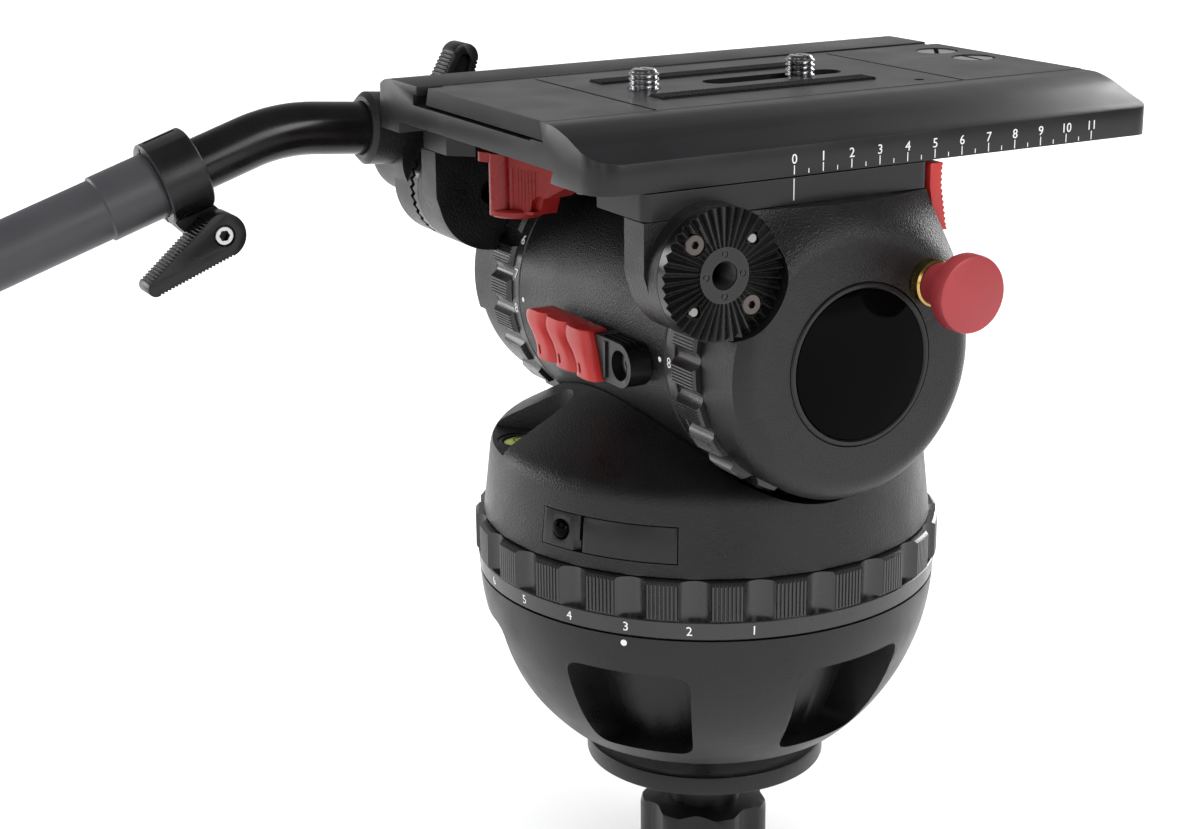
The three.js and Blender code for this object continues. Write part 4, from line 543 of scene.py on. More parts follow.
def mapped(obj, rule):
    for vertex in obj.data.vertices:
        vertex.co = rule(*vertex.co)
    return obj


# Half ball with its pockets
def make_half_ball():
    low, top = degrees(asin(BALL_BOTTOM / BALL_R)), degrees(asin(BALL_TOP / BALL_R))
    neck_r, neck_top = 65.6, 13
    neck = [(neck_r, BALL_TOP), (neck_r, neck_top), (0, neck_top)]
    ball = turned([(0, BALL_BOTTOM), *arc(0, 0, BALL_R, low, top, 40), *neck], "z", 192)
    half_angle, low, top = 16.5, -50, -16.5
    outline = rounded(rectangle(-half_angle, half_angle, low, top), 5, 6)
    core = turned([(45, low - 1), (80, low - 1), (80, top + 1), (58.4, top + 1)], "z", 144)
    pockets = []
    for i in range(BALL_POCKETS):
        centre = FIRST_POCKET + 360 / BALL_POCKETS * i
        verts = [(*polar(r, radians(centre + a)), z) for r in (30, 84) for a, z in outline]
        n = len(outline)
        wedge = solid(verts, [list(range(n)), list(range(n, 2 * n))] + walled(0, n, n))
        pockets.append(common(wedge, copied(core)))
    bpy.data.objects.remove(core)
    axle = disc(12.3, "z", -29, 20, 48)
    stud = disc(STUD_R + 0.3, "z", -60, -35.7, 32)
    return cut(ball, *pockets, axle, stud)


piece("half_ball_body", make_half_ball(), "half_ball", "casting_fine", bevel=0.5)
index_dot = moved(disc(1.0, "x", -0.1, 0.1, 24), shift((74.78, 0, -6.0)))
piece("ball_index_dot", moved(index_dot, spin("Z", -141.3)), "half_ball", "print", stands=False)


# Scalloped grip outline with ribbed lands, each land half of its pitch
def scalloped(land, valley, ribs, rib_depth, phase):
    pitch = 360 / RING_LANDS
    half = pitch * 0.25
    width = 2 * half / ribs
    spots = []
    for i in range(RING_LANDS):
        middle = i * pitch + phase
        for k in range(ribs):
            start = middle - half + k * width
            for share, r in ((0.1, land - rib_depth), (0.3, land), (0.75, land), (0.95, land - rib_depth)):
                spots.append((r, start + width * share))
        for share in shares(12):
            r = land - rib_depth * 0.5 - (land - valley) * sin(pi * share) ** 0.7
            spots.append((r, middle + half + (pitch - 2 * half) * share))
    return [polar(r, radians(a)) for r, a in spots]


# A drag ring: the scalloped grip, trimmed at its edges, and the plain band beside it that bears the numbers
def drag_ring(outline, axis, levels, trim_radii, rise, band_radii, bore, at=(0, 0, 0)):
    low, mid, top = levels
    trim = [(0, mid - 1), *zip(trim_radii, (mid - 1, mid, mid + rise, top - 1, top)), (0, top)]
    band = [(0, low), *zip(band_radii, (low, low + 0.4, mid - 0.3, mid)), (0, mid)]
    grip = moved(prism(outline, axis, mid, top), shift(at))
    grip = common(grip, turned(trim, axis, 192, at))
    return cut(joined(turned(band, axis, 192, at), grip), bore)


def make_pan_ring():
    outline = scalloped(RING_LAND, RING_VALLEY, 8, 0.45, 3.0)
    levels = (RING_BOTTOM, RING_BAND_TOP, RING_TOP)
    trim, band = (74.9, 75.2, 76.2, 76.2, 75.0), (74.5, 74.9, 75.4, 75.1)
    bore = disc(RING_BORE, "z", RING_BOTTOM - 2, RING_TOP + 2, 192)
    return drag_ring(outline, "z", levels, trim, 1.1, band, bore)


piece("pan_ring_body", make_pan_ring(), "pan_drag_ring", "ring", angle=28)


# Dial numbers on the band's cone. Number 3 stands at the dot on the ball
def ring_number(number):
    radius, lean, at_dot, size = 75.15, 0.094, 3, 4.2
    azimuth = radians(-140.7 - (number - at_dot) * DIAL_STEP)

    def wrap(u, v, w):
        return (*polar(radius + PRINT_HALF + lean * v + w, azimuth + u / radius), v - 0.5)

    return mapped(lettering(str(number), size), wrap)


piece("pan_ring_numbers", gathered([ring_number(n) for n in DIAL]), "pan_drag_ring", "print", stands=False)


# Turret
def wall_block(start, end, bottom, top, depth, proud, facets=12):
    verts = []
    for offset in (-depth, proud):
        for z in (bottom, top):
            r = TURRET_FOOT_R - WALL_SLOPE * z + offset
            verts += [(x, y, TURRET_BOTTOM + z) for x, y in arc(0, 0, r, start, end, facets)]
    n = facets + 1
    low_in, top_in, low_out, top_out = 0, n, 2 * n, 3 * n
    faces = []
    for k in range(facets):
        for a, b in ((low_in, top_in), (low_out, top_out), (low_in, low_out), (top_in, top_out)):
            faces.append([a + k, a + k + 1, b + k + 1, b + k])
    faces += [[low_in + k, top_in + k, top_out + k, low_out + k] for k in (0, facets)]
    return solid(verts, faces)


# Takes a form that lies along +X to the round button in the turret's wall
def at_button(obj):
    return moved(moved(obj, shift((0, 0, BUTTON_Z))), spin("Z", BUTTON_AZIMUTH))


def make_turret():
    skirt_in, skirt_out, skirt_bottom = 40.3, 62, 13.4
    dome_r, dome_top = 34, 60.0
    well_r, well_floor, bore_r, bore_top = 20.4, 26.0, 12.4, 21.6
    corners = [(skirt_in, skirt_bottom), (skirt_out, skirt_bottom), (skirt_out, TURRET_BOTTOM),
               (TURRET_FOOT_R, TURRET_BOTTOM), (TURRET_EDGE_R, TURRET_EDGE_Z), (dome_r, dome_top),
               (well_r, dome_top), (well_r, well_floor), (bore_r, well_floor), (bore_r, bore_top),
               (skirt_in, bore_top)]
    profile = rounded(corners, [0, 0, 0, 0.5, 8, 0, 0, 0, 0, 0, 0], 12)
    body = turned(dense(profile, 2.5), "z", 240)
    saddle = disc(DRUM_R + 0.3, "y", -DRUM_HALF - 0.2, DRUM_HALF + 0.2, 192, AT_TILT)
    relief = disc(46.2, "y", 46.6, 90, 192, AT_TILT)
    near, inner_r, reach, far = 11, 44, 80, radians(134)
    apex = near / tan(BUBBLE_AZIMUTH)
    inner = apex + sqrt(inner_r**2 - near**2)
    outline = [
        (apex - inner, near),
        (apex - reach, near),
        (apex + reach * cos(far), near + reach * sin(far)),
        (apex + inner * cos(far), near + inner * sin(far)),
    ]
    scoop = prism(rounded(outline, [9, 0, 0, 9], 12), "z", 39.5, 66)
    seat = disc(7.9, "z", 36.5, 50, 64, BUBBLE)
    panel = wall_block(-166, -128.5, PANEL_LOW - 0.3, PANEL_HIGH + 0.3, PANEL_DEPTH + 0.3, 6)
    button = at_button(disc(4.1, "x", 68.4, 80, 32))
    return cut(body, saddle, relief, mirrored(relief), scoop, seat, panel, button)


piece("turret_body", make_turret(), "pan_turret", "casting", bevel=0.6, segments=3)
piece("bubble_rim", ring(6.1, 7.6, "z", 36.8, 39.2, 64, BUBBLE), "bubble_ring", "anodised", bevel=0.2)
glass = [(0, 36.8), (5.8, 36.8), (5.8, 38.6), (4.5, 39.1), (2.5, 39.4), (0, 39.5)]
piece("bubble_glass", turned(glass, "z", 48, BUBBLE), "bubble_vial", "vial")
piece("bubble_circle", ring(2.5, 2.75, "z", 39.4, 39.5, 48, BUBBLE), "bubble_vial", "gloss", stands=False)


# Switch plate, button and battery cover
def make_switch_plate():
    plate = wall_block(-165.76, -154.04, PANEL_LOW, PANEL_HIGH, PANEL_DEPTH, 0)
    hole = at_button(disc(3.3, "x", 60, 80, 32))
    notch = moved(disc(2.2, "z", 20, 23.4, 24, (73.6, 0, 0)), spin("Z", -154.2))
    return cut(plate, hole, notch)


piece("switch_plate", make_switch_plate(), "light_switch_plate", "plastic", bevel=0.25)
button = [(0, 69.5), (3.8, 69.5), (3.8, 70.3), (3.0, 70.3), (3.0, 72.0), (2.6, 72.7), (1.6, 73.2), (0, 73.4)]
piece("round_button", at_button(turned(button, "x", 48)), "light_button", "gloss")
lid = wall_block(-153.2, -128.74, PANEL_LOW, PANEL_HIGH, PANEL_DEPTH, 0, 24)
piece("battery_lid", lid, "battery_cover", "plastic", bevel=0.25)


# Drum with its index dots
def make_drum():
    inner, journal, end, edge = 24, 38, TILT_RING_END, 0.4
    profile = [(inner, -end), (journal, -end), (journal, -DRUM_HALF), (DRUM_R - edge, -DRUM_HALF),
               (DRUM_R, edge - DRUM_HALF), (DRUM_R, DRUM_HALF - edge), (DRUM_R - edge, DRUM_HALF),
               (journal, DRUM_HALF), (journal, end), (inner, end)]
    drum = turned(profile, "y", 240, AT_TILT)
    return cut(drum, disc(3.1, "x", -60, -35.4, 32, (0, BRAKE_Y, BRAKE_Z)))


def drum_dot(y):
    dot = moved(disc(0.8, "x", -0.08, 0.08, 24, (-DRUM_R, y, 0)), spin("Y", -2.0))
    return moved(dot, shift(AT_TILT))


piece("drum_body", make_drum(), "tilt_drum", "casting")
piece("drum_dots", gathered([drum_dot(-43.8), drum_dot(43.8)]), "tilt_drum", "print", stands=False)


# Tilt rings
def make_tilt_ring(phase):
    outline = scalloped(TILT_LAND, TILT_VALLEY, 6, 0.4, phase)
    levels = (TILT_BAND_START, TILT_BAND_END, TILT_RING_END)
    trim, band = (43.6, 43.9, 45.4, 45.4, 44.4), (43.3, DRUM_R, DRUM_R, 43.4)
    return drag_ring(outline, "y", levels, trim, 1.2, band, disc(38.4, "y", 40, 70, 192, AT_TILT), AT_TILT)


piece("far_ring_body", make_tilt_ring(0), "far_drag_ring", "ring", angle=28)
near_source = make_tilt_ring(4)
piece("near_ring_body", mirrored(near_source), "near_drag_ring", "ring", angle=28)
bpy.data.objects.remove(near_source)


# Dial numbers round the band. The given number stands at the given elevation
def tilt_numbers(side, at_dot, elevation):
    def number(n):
        base = radians(elevation + (at_dot - n) * TILT_DIAL_STEP)

        def wrap(u, v, w):
            angle = base + v / DRUM_R
            r = DRUM_R + 0.12 + w
            return (-r * cos(angle), side * 49.2 - u, TILT_Z + r * sin(angle))

        return mapped(lettering(str(n), 4.6), wrap)

    return gathered([number(n) for n in DIAL])


piece("far_ring_numbers", tilt_numbers(1, 7, 7.8), "far_drag_ring", "print", stands=False)
piece("near_ring_numbers", tilt_numbers(-1, 8, -2.0), "near_drag_ring", "print", stands=False)


# Brake lever and grip
def make_brake_lever():
    y, z, r, end = BRAKE_Y, BRAKE_Z, 6.8, -20.3
    shaft = hull(circle(y, z, r, 64) + [(end - BRAKE_LEAN * r, z - r), (end + BRAKE_LEAN * r, z + r)])
    body = prism(shaft, "x", -51.4, BRAKE_BACK)
    tongue = prism(rounded(rectangle(y, 9, z - 4.5, z + 4.5), [0, 2.3, 2.3, 0]), "x", -46.3, BRAKE_BACK)
    rib = box(-52.1, -51.0, -25.6, -24.4, z - 5.4, z + 5.9)
    tools = [disc(3.1, "x", -60, -40, 32, (0, y, z)), disc(4.7, "x", -60, -47.4, 48, (0, y, z))]
    tools += [box(x, x + 1.5, -37.5, -21.5, z + 5.2, z + 9) for x in (-50.2 + 2.1 * k for k in range(3))]
    return cut(joined(body, tongue, rib), *tools)


piece("brake_arm", make_brake_lever(), "brake_lever", "plastic", bevel=0.35)


# Three crowned lobes on a red grip that bends into an S
def make_brake_grip():
    back, front, near, far, half, lobes = -46.6, -55.0, -20, 19, 7.4, 3
    length = far - near
    outer = []
    for share in shares(90):
        crown = max(1 - abs(2 * (lobes * share % 1) - 1) ** 3.2, 0) ** 0.6
        outer.append((front + 2.9 * (1 - crown), far - length * share))
    levels = [-half + 2 * half * k / 20 for k in range(21)]
    block = layered([(back, near), (back, far), *outer], "z", levels)
    side = prism(rounded(rectangle(near, far, -half, half), [0.8, 5.5, 5.5, 0.8]), "x", -60, -40)
    block = common(block, side)
    dimples = []
    for k in range(lobes):
        y = far - length / lobes * (k + 0.5) + 1.6
        dimples.append(prism(hull(circle(y, -5.2, 0.8, 24) + circle(y, -3.6, 0.8, 24)), "x", -57, -53.2))

    def bent(x, y, z):
        inner = min(max((y - near) / 6, 0), 1)
        swing = (2.3 if z > 0 else 1.2) * sin(pi * z / half)
        return (x, y + BRAKE_LEAN * z + inner * swing, z + BRAKE_Z)

    return mapped(cut(block, *dimples), bent)


piece("brake_grip_shell", make_brake_grip(), "brake_grip", "red", bevel=0.3)


# A turned screw with a hexagonal socket
def socket_screw(profile, axis, at, socket, start, end):
    middle = at[1:] if axis == "x" else at[::2]
    return cut(turned(profile, axis, 48, at), prism(circle(*middle, socket, 6), axis, start, end))


screw = [(0, -48.4), (3.6, -48.4), (4.2, -48.0), (4.2, -47.6), (2.8, -47.6), (2.8, -35.7), (0, -35.7)]
screw = socket_screw(screw, "x", (0, BRAKE_Y, BRAKE_Z), 2.0, -50, -47.9)
piece("brake_pivot_screw", screw, "brake_screw", "worn_steel", bevel=0.1)


# Cheeks
def cheek_slab(start, end):
    top = PLATFORM_BOTTOM - 0.3
    front, rear = 31, -65.8
    points = [(x, z) for x, z in circle(0, TILT_Z, CHEEK_R, 192) if x > 0 and z > TILT_Z]
    points += circle(ROSETTE_X, ROSETTE_Z, ROSETTE_R, 96) + [(front, top), (rear, top), (rear, ROSETTE_Z)]
    shoulder = hull([(x, min(z, top)) for x, z in points])
    return joined(disc(CHEEK_R, "y", start, end, 192, AT_TILT), prism(shoulder, "y", start, end))


def make_cheek():
    boss_in, boss_out = 72.6, 77.7
    web = cheek_slab(WEB_IN, WEB_OUT)
    rim = arc(CHEEK_R - CHEEK_ROUND, CHEEK_OUT - CHEEK_ROUND, CHEEK_ROUND, 0, 90, 16)
    drum = turned([(0, CHEEK_IN), (CHEEK_R, CHEEK_IN), *rim, (0, CHEEK_OUT)], "y", 192, AT_TILT)
    bell_in, bell_r = 36, 58
    flare = []
    for share in shares(24):
        rise = 0.5 + 0.5 * cos(pi * share)
        flare.append((bell_in + (bell_r - bell_in) * share, WEB_OUT + (CHEEK_OUT - WEB_OUT) * rise))
    bell = turned([(0, CHEEK_IN), (bell_r, CHEEK_IN), *flare[::-1], (0, CHEEK_OUT)], "y", 192, AT_TILT)
    upper = [(-CHEEK_R, TILT_Z - 12.8), (CHEEK_R, TILT_Z + 11.5), (101, 128.8), (-85.2, 128.8), (-85.2, 94.3)]
    skirt = common(common(bell, cheek_slab(WEB_IN, BELL_OUT)), prism(upper, "y", WEB_IN, BELL_OUT))
    boss = disc(ROSETTE_R, "y", boss_in, boss_out, 128, AT_ROSETTE)
    low_boss = common(disc(ROSETTE_R, "y", WEB_IN, boss_out, 128, AT_ROSETTE), cheek_slab(WEB_IN, boss_out))
    body = joined(web, drum, skirt, boss, low_boss)
    return cut(
        body,
        disc(45.8, "y", 55, CHEEK_IN, 192, AT_TILT),
        disc(20.2, "y", boss_out, BELL_OUT, 128, AT_ROSETTE),
        disc(BOLT_R, "y", 55, BELL_OUT, 48, AT_ROSETTE),
        disc(10.3, "y", 55, 76.3, 64, AT_TILT),
        disc(24.8, "y", 81.5, BELL_OUT, 128, AT_TILT),
    )


far_cheek = make_cheek()
pull_bores = disc(5.3, "y", -90, -76.2, 48, AT_PULL), disc(3.4, "y", -80, -75.2, 48, AT_PULL)
near_cheek = cut(mirrored(far_cheek), *pull_bores)
piece("far_cheek_body", far_cheek, "tilt_cheek_far", "casting", bevel=0.6, segments=3)
piece("near_cheek_body", near_cheek, "tilt_cheek_near", "casting", bevel=0.6, segments=3)

# Badges
for side, word in ((1, "far"), (-1, "near")):
    bezel_in, bezel_top = 22.7, 85.0
    rim = [(bezel_in, BADGE_SEAT), (BEZEL_R, BADGE_SEAT), (BEZEL_R, bezel_top - 0.5),
           (BEZEL_R - 0.4, bezel_top), (bezel_in + 0.4, bezel_top), (bezel_in, bezel_top - 0.5)]
    dome = [(0, BADGE_SEAT), (BADGE_R, BADGE_SEAT)]
    dome += [(BADGE_R * (1 - t), 84.6 + 1.4 * (1 - (1 - t) ** 2.2)) for t in shares(16)]
    rim, cap = turned(rim, "y", 160, AT_TILT), turned(dome, "y", 160, AT_TILT)
    if side < 0:
        moved(rim, MIRROR)
        moved(cap, MIRROR)
    piece("badge_bezel_" + word, rim, "badge_rim_" + word, "plastic")
    piece("badge_cover_" + word, cap, "badge_dome_" + word, "gloss")


# Rosettes
def tooth_ring(base, tip, phase):
    count = 2 * TEETH
    sign = 1 if tip > base else -1
    verts, faces = [], []
    for i in range(count):
        angle = radians(360 * (i + phase) / count)
        deep = i % 2 * sign
        crest = [(ROSETTE_R, tip - deep * 2.0), (TEETH_IN, tip - deep * 0.8)]
        spots = [(TEETH_IN, base), (ROSETTE_R, base), *crest]
        verts += [(ROSETTE_X + r * cos(angle), y, ROSETTE_Z + r * sin(angle)) for r, y in spots]
        n = (i + 1) % count
        faces += [[4 * i + k, 4 * n + k, 4 * n + (k + 1) % 4, 4 * i + (k + 1) % 4] for k in range(4)]
    return solid(verts, faces)


def on_rosette(spot):
    return (ROSETTE_X + spot[0], 0, ROSETTE_Z + spot[1])


def make_rosette():
    hub = ring(BOLT_R, HUB_R, "y", TEETH_BASE, TEETH_TIP, 64, AT_ROSETTE)
    tools = [disc(3.4, "y", 80.2, 90, 40, on_rosette(spot)) for spot in ROSETTE_SCREWS]
    tools += [disc(2.1, "y", 79.6, 90, 32, on_rosette(spot)) for spot in ROSETTE_PINS]
    tools += [ring(0.7, 1.1, "y", 81.7, 90, 24, on_rosette(spot)) for spot in ROSETTE_MARKS]
    return cut(joined(tooth_ring(TEETH_BASE, TEETH_TIP, 0), hub), *tools)


def rosette_screw(at):
    head = [(0, -79.0), (3.0, -79.0), (3.2, -80.6), (3.1, -81.3), (2.8, -81.6), (0, -81.6)]
    return socket_screw(head, "y", at, 1.25, -83, -79.8)


far_rosette = make_rosette()
near_rosette = mirrored(far_rosette)
piece("far_rosette_body", far_rosette, "rosette_far", "teeth", angle=20)
piece("near_rosette_body", near_rosette, "rosette_near", "teeth", angle=20)
heads = gathered([rosette_screw(on_rosette(spot)) for spot in ROSETTE_SCREWS])
pins = gathered([disc(1.5, "y", -81.4, -79.0, 40, on_rosette(spot), 0.3) for spot in ROSETTE_PINS])
piece("rosette_screws", heads, "rosette_near", "dark_steel", stands=False, slot="steel")
piece("rosette_pins", pins, "rosette_near", "worn_steel", stands=False, slot="steel")
thread = [(4.25, -82.0)]
for k in range(9):
    thread += [(4.25, -81.6 + 1.5 * k), (3.6, -80.9 + 1.5 * k)]
thread = turned([*thread, (4.25, -67.8), (4.6, -67.8), (4.6, -82.0)], "y", 64, AT_ROSETTE)
piece("rosette_thread", thread, "rosette_near", "anodised", stands=False)

# Pull knob and its bush
bush = [(3.4, -88.3), (6.4, -88.3), (7, -87.7), (7, -84.8), (5, -84.8), (5, -76.5), (3.4, -76.5)]
piece("pull_bush_body", turned(bush, "y", 64, AT_PULL), "pull_bush", "brass")
knob = [(0, -105.0), (10.4, -105.0), (11.2, -104.7), (11.5, -104.0), (11.5, -100.0), (11.2, -99.3),
        (10.2, -99.0), (6.3, -98.6), (6.3, -88.6), (3, -88.6), (3, -75.5), (0, -75.5)]
pull = cut(turned(knob, "y", 96, AT_PULL), disc(0.9, "x", 10, 18.5, 24, (0, -94, AT_PULL[2])))
piece("pull_knob_body", pull, "pull_knob", "red_metal")


# Platform, rail and gib
def make_platform():
    rear, front, step, neck = -65.8, RAIL_FRONT, -58.8, RAIL_REAR
    outline = [(rear, -PLATFORM_HALF), (front, -PLATFORM_HALF), (front, PLATFORM_HALF), (rear, PLATFORM_HALF),
               (rear, 53), (step, 46), (neck, 46), (neck, -39), (step, -39), (rear, -46)]
    table = prism(rounded(outline, [3, 3, 3, 3, 0, 0, 3, 3, 0, 0]), "z", PLATFORM_BOTTOM, PLATFORM_TOP)
    foot, wide, low = 44.9, 46.4, PLATFORM_TOP - 0.3
    rail = [(-foot, low), (foot, low), (foot, PLATFORM_TOP), (wide, RAIL_TOP), (-wide, RAIL_TOP),
            (-foot, PLATFORM_TOP)]
    slot = box(18.4, 40, -63.5, -44.4, 132.0, 136.4)
    bore = disc(2.3, "z", 120, 136.5, 24, FRONT_PIN)
    return cut(joined(table, prism(rail, "x", RAIL_REAR, RAIL_FRONT)), slot, bore)


piece("platform_body", make_platform(), "platform", "anodised", bevel=0.35)
gib = prism([(45.3, 137.1), (56.8, 137.1), (56.8, RAIL_TOP), (46.8, RAIL_TOP)], "x", RAIL_REAR, RAIL_FRONT)
piece("gib_strip", gib, "slide_gib", "dark_steel", bevel=0.2)


# Front lever with its grooved thumb face
def make_front_lever():
    low, knee, top, rear, foot = 115.5, PLATFORM_BOTTOM, 136, 32.8, 35.1
    front = []
    steps = 72
    for i in range(steps + 1):
        z = low + (top - low) * i / steps
        lean = max(0, (knee - z) / (knee - low)) * 2.3
        groove = 0.55 * (0.5 - 0.5 * cos(pi * i / 3)) if 3 < i < steps - 3 else 0
        front.append((37.4 + lean - groove, z))
    paddle = prism([(rear, top), (rear, knee), (foot, low), *front], "y", -72, -55)
    arm = prism(hull(circle(*FRONT_PIN[:2], 5.2, 48) + rectangle(rear, foot, -62, -55)), "z", 132.4, top)
    return cut(joined(paddle, arm), disc(2.4, "z", 120, 140, 32, FRONT_PIN))


piece("front_lever_body", make_front_lever(), "front_lever", "red", bevel=0.3)

# Plate carrier. The near shoulder's curve as shares of its width and height
SHOULDER = [(0, 0), (0.2, 0.2), (0.39, 0.425), (0.52, 0.6), (0.64, 0.75), (0.8, 0.9), (0.92, 0.98), (1, 1)]


def smooth_line(points, steps):
    result = []
    for i in range(len(points) - 1):
        p0 = Vector(points[max(i - 1, 0)])
        p1, p2 = Vector(points[i]), Vector(points[i + 1])
        p3 = Vector(points[min(i + 2, len(points) - 1)])
        for t in (k / steps for k in range(steps)):
            square, cube = 2 * p0 - 5 * p1 + 4 * p2 - p3, 3 * p1 - p0 - 3 * p2 + p3
            result.append(tuple(0.5 * (2 * p1 + (p2 - p0) * t + square * t * t + cube * t**3)))
    return result + [tuple(points[-1])]


def make_carrier():
    half, low, top, floor = CARRIER_HALF, CARRIER_BOTTOM, CARRIER_TOP, CHANNEL_FLOOR
    cave, lip = 140.9, 150.9
    near = smooth_line([(27.3 * a - half, top - 8.0 + 8.0 * u) for a, u in SHOULDER], 4)
    far = arc(half - 10, 0, 10, 0, 90, 10)
    far = [(y, top - 5 + z / 2) for y, z in far]
    section = [(-half, low), (-45.3, low), (-46.8, cave), (57.1, cave), (57.1, low), (half, low), *far,
               (42.8, top), (42.8, lip), (45.6, lip), (45.6, floor), (-33.5, floor), (-33.5, floor + 0.5),
               (-41.2, floor + 0.5), (-39.4, top), *near[::-1]]
    body = prism(section, "x", CARRIER_REAR, CARRIER_FRONT)
    plan = rounded(rectangle(CARRIER_REAR, CARRIER_FRONT, -half, half), [10, 5.6, 5.6, 2], 12)
    body = common(body, prism(plan, "z", 130, 160))
    return cut(body, disc(3.8, "z", 135, 146.7, 32, REAR_PIN))


piece("carrier_body", make_carrier(), "plate_carrier", "anodised", bevel=0.45)
clamp = [(38.9, 147.9), (43.8, 147.9), (43.8, 150.6), (41.0, 150.6), (41.0, 153.5), (36.7, 153.5)]
piece("clamp_bar_body", prism(clamp, "x", -72.3, 115.8), "plate_clamp_bar", "anodised", bevel=0.2)


# Printed marks on the near side
def mark(x, half, low, high):
    return box(x - half, x + half, -CARRIER_HALF - 0.08, 0.1 - CARRIER_HALF, low, high)


scale = []
for n in range(SCALE_NUMBERS):
    x = SCALE_START + SCALE_STEP * n
    number = lettering(str(n), 4.0)
    scale.append(mapped(number, lambda u, v, w, x=x: (x + u, -CARRIER_HALF - 0.05 - w, 142.0 + v)))
    scale.append(mark(x, 0.15, 137.7, 140.3))
    if n < SCALE_NUMBERS - 1:
        scale.append(mark(x + SCALE_STEP / 2, 0.13, 137.7, 139.0))
piece("slide_scale", gathered(scale), "plate_carrier", "print", stands=False)
piece("slide_index", mark(-16.1, 0.15, 130.2, 136.5), "platform", "print", stands=False)


# Camera plate
def slot_outline(rear, front, radius):
    return hull(circle(rear + radius, 0, radius, 48) + circle(front - radius, 0, radius, 48))


def strip_outline(side, margin):
    low, high = sorted((side * STRIP_IN, side * STRIP_OUT))
    return rounded(rectangle(-30 - margin, 49 + margin, low - margin, high + margin), 2)


def make_plate():
    section = [(-40.9, 148.4), (38.5, 148.4), (36.3, PLATE_TOP), (-39.1, PLATE_TOP)]
    body = prism(section, "x", -79.2, 118)
    under, over, step = 140, 160, 151.2
    rear = (REAR_SCREW_X, 0, 0)
    tools = [
        prism(slot_outline(-1, 50, SCREW_R), "z", under, over),
        prism(slot_outline(-4.45, 53.45, SCREW_HEAD_R), "z", under, step),
        disc(SCREW_R, "z", under, over, 64, rear),
        disc(SCREW_HEAD_R, "z", under, step, 64, rear),
        prism(strip_outline(-1, 0.3), "z", 152.9, over),
        prism(strip_outline(1, 0.3), "z", 152.9, over),
        box(-42.6, -41.4, -60, 60, 153.4, over),
        box(69.4, 70.6, -60, 60, 153.4, over),
    ]
    tools += [disc(SPARE_HOLE_R, "z", 150.4, over, 64, (SPARE_X, y, 0)) for y in SPARE_Y]
    return cut(body, *tools, disc(1.6, "z", 151, over, 32, (59, -31, 0)))


piece("camera_plate_body", make_plate(), "camera_plate", "anodised", bevel=0.3)
for side, word in ((-1, "near"), (1, "far")):
    low, high = sorted((side * STRIP_IN, side * STRIP_OUT))
    count = 60
    stations = [-29 + 77 * i / (count - 1) for i in range(count)]
    ribs = [box(x - 0.35, x + 0.35, low + 0.6, high - 0.6, PLATE_TOP, 154.5) for x in stations]
    strip = gathered([prism(strip_outline(side, 0), "z", 153.2, 154.1), *ribs])
    piece("grip_strip_" + word, strip, "rubber_strip_" + word, "rubber")


def threaded_stud(x):
    points = [(0, 148.7), (8.2, 148.7), (8.2, 150.9), (4.0, 150.9)]
    for z in (151.3 + 1.59 * k for k in range(5)):
        points += [(4.0, z), (4.75, z + 0.6), (4.75, z + 0.9), (4.0, z + 1.5)]
    stud = turned([*points, (4.1, 159.3), (3.4, 160.0), (0, 160.0)], "z", 64, (x, 0, 0))
    return cut(stud, box(x - 0.6, x + 0.6, -6, 6, 159.0, 165))


piece("stud_rear", threaded_stud(REAR_SCREW_X), "camera_screw_rear", "steel", angle=40)
piece("stud_front", threaded_stud(FRONT_SCREW_X), "camera_screw_front", "steel", angle=40)
for i, y in enumerate(SPARE_Y, 1):
    spare = turned([(0, 150.7), (7, 150.7), (7, 153.2), (6.6, 153.6), (0, 153.6)], "z", 64, (SPARE_X, y, 0))
    spare = cut(spare, box(SPARE_X - 0.8, SPARE_X + 0.8, y - 9, y + 9, 152.2, 160))
    moved(spare, spin("Z", 25 - 30 * i, (SPARE_X, y, 0)))
    piece("spare_%d" % i, spare, "spare_screw_%d" % i, "steel")


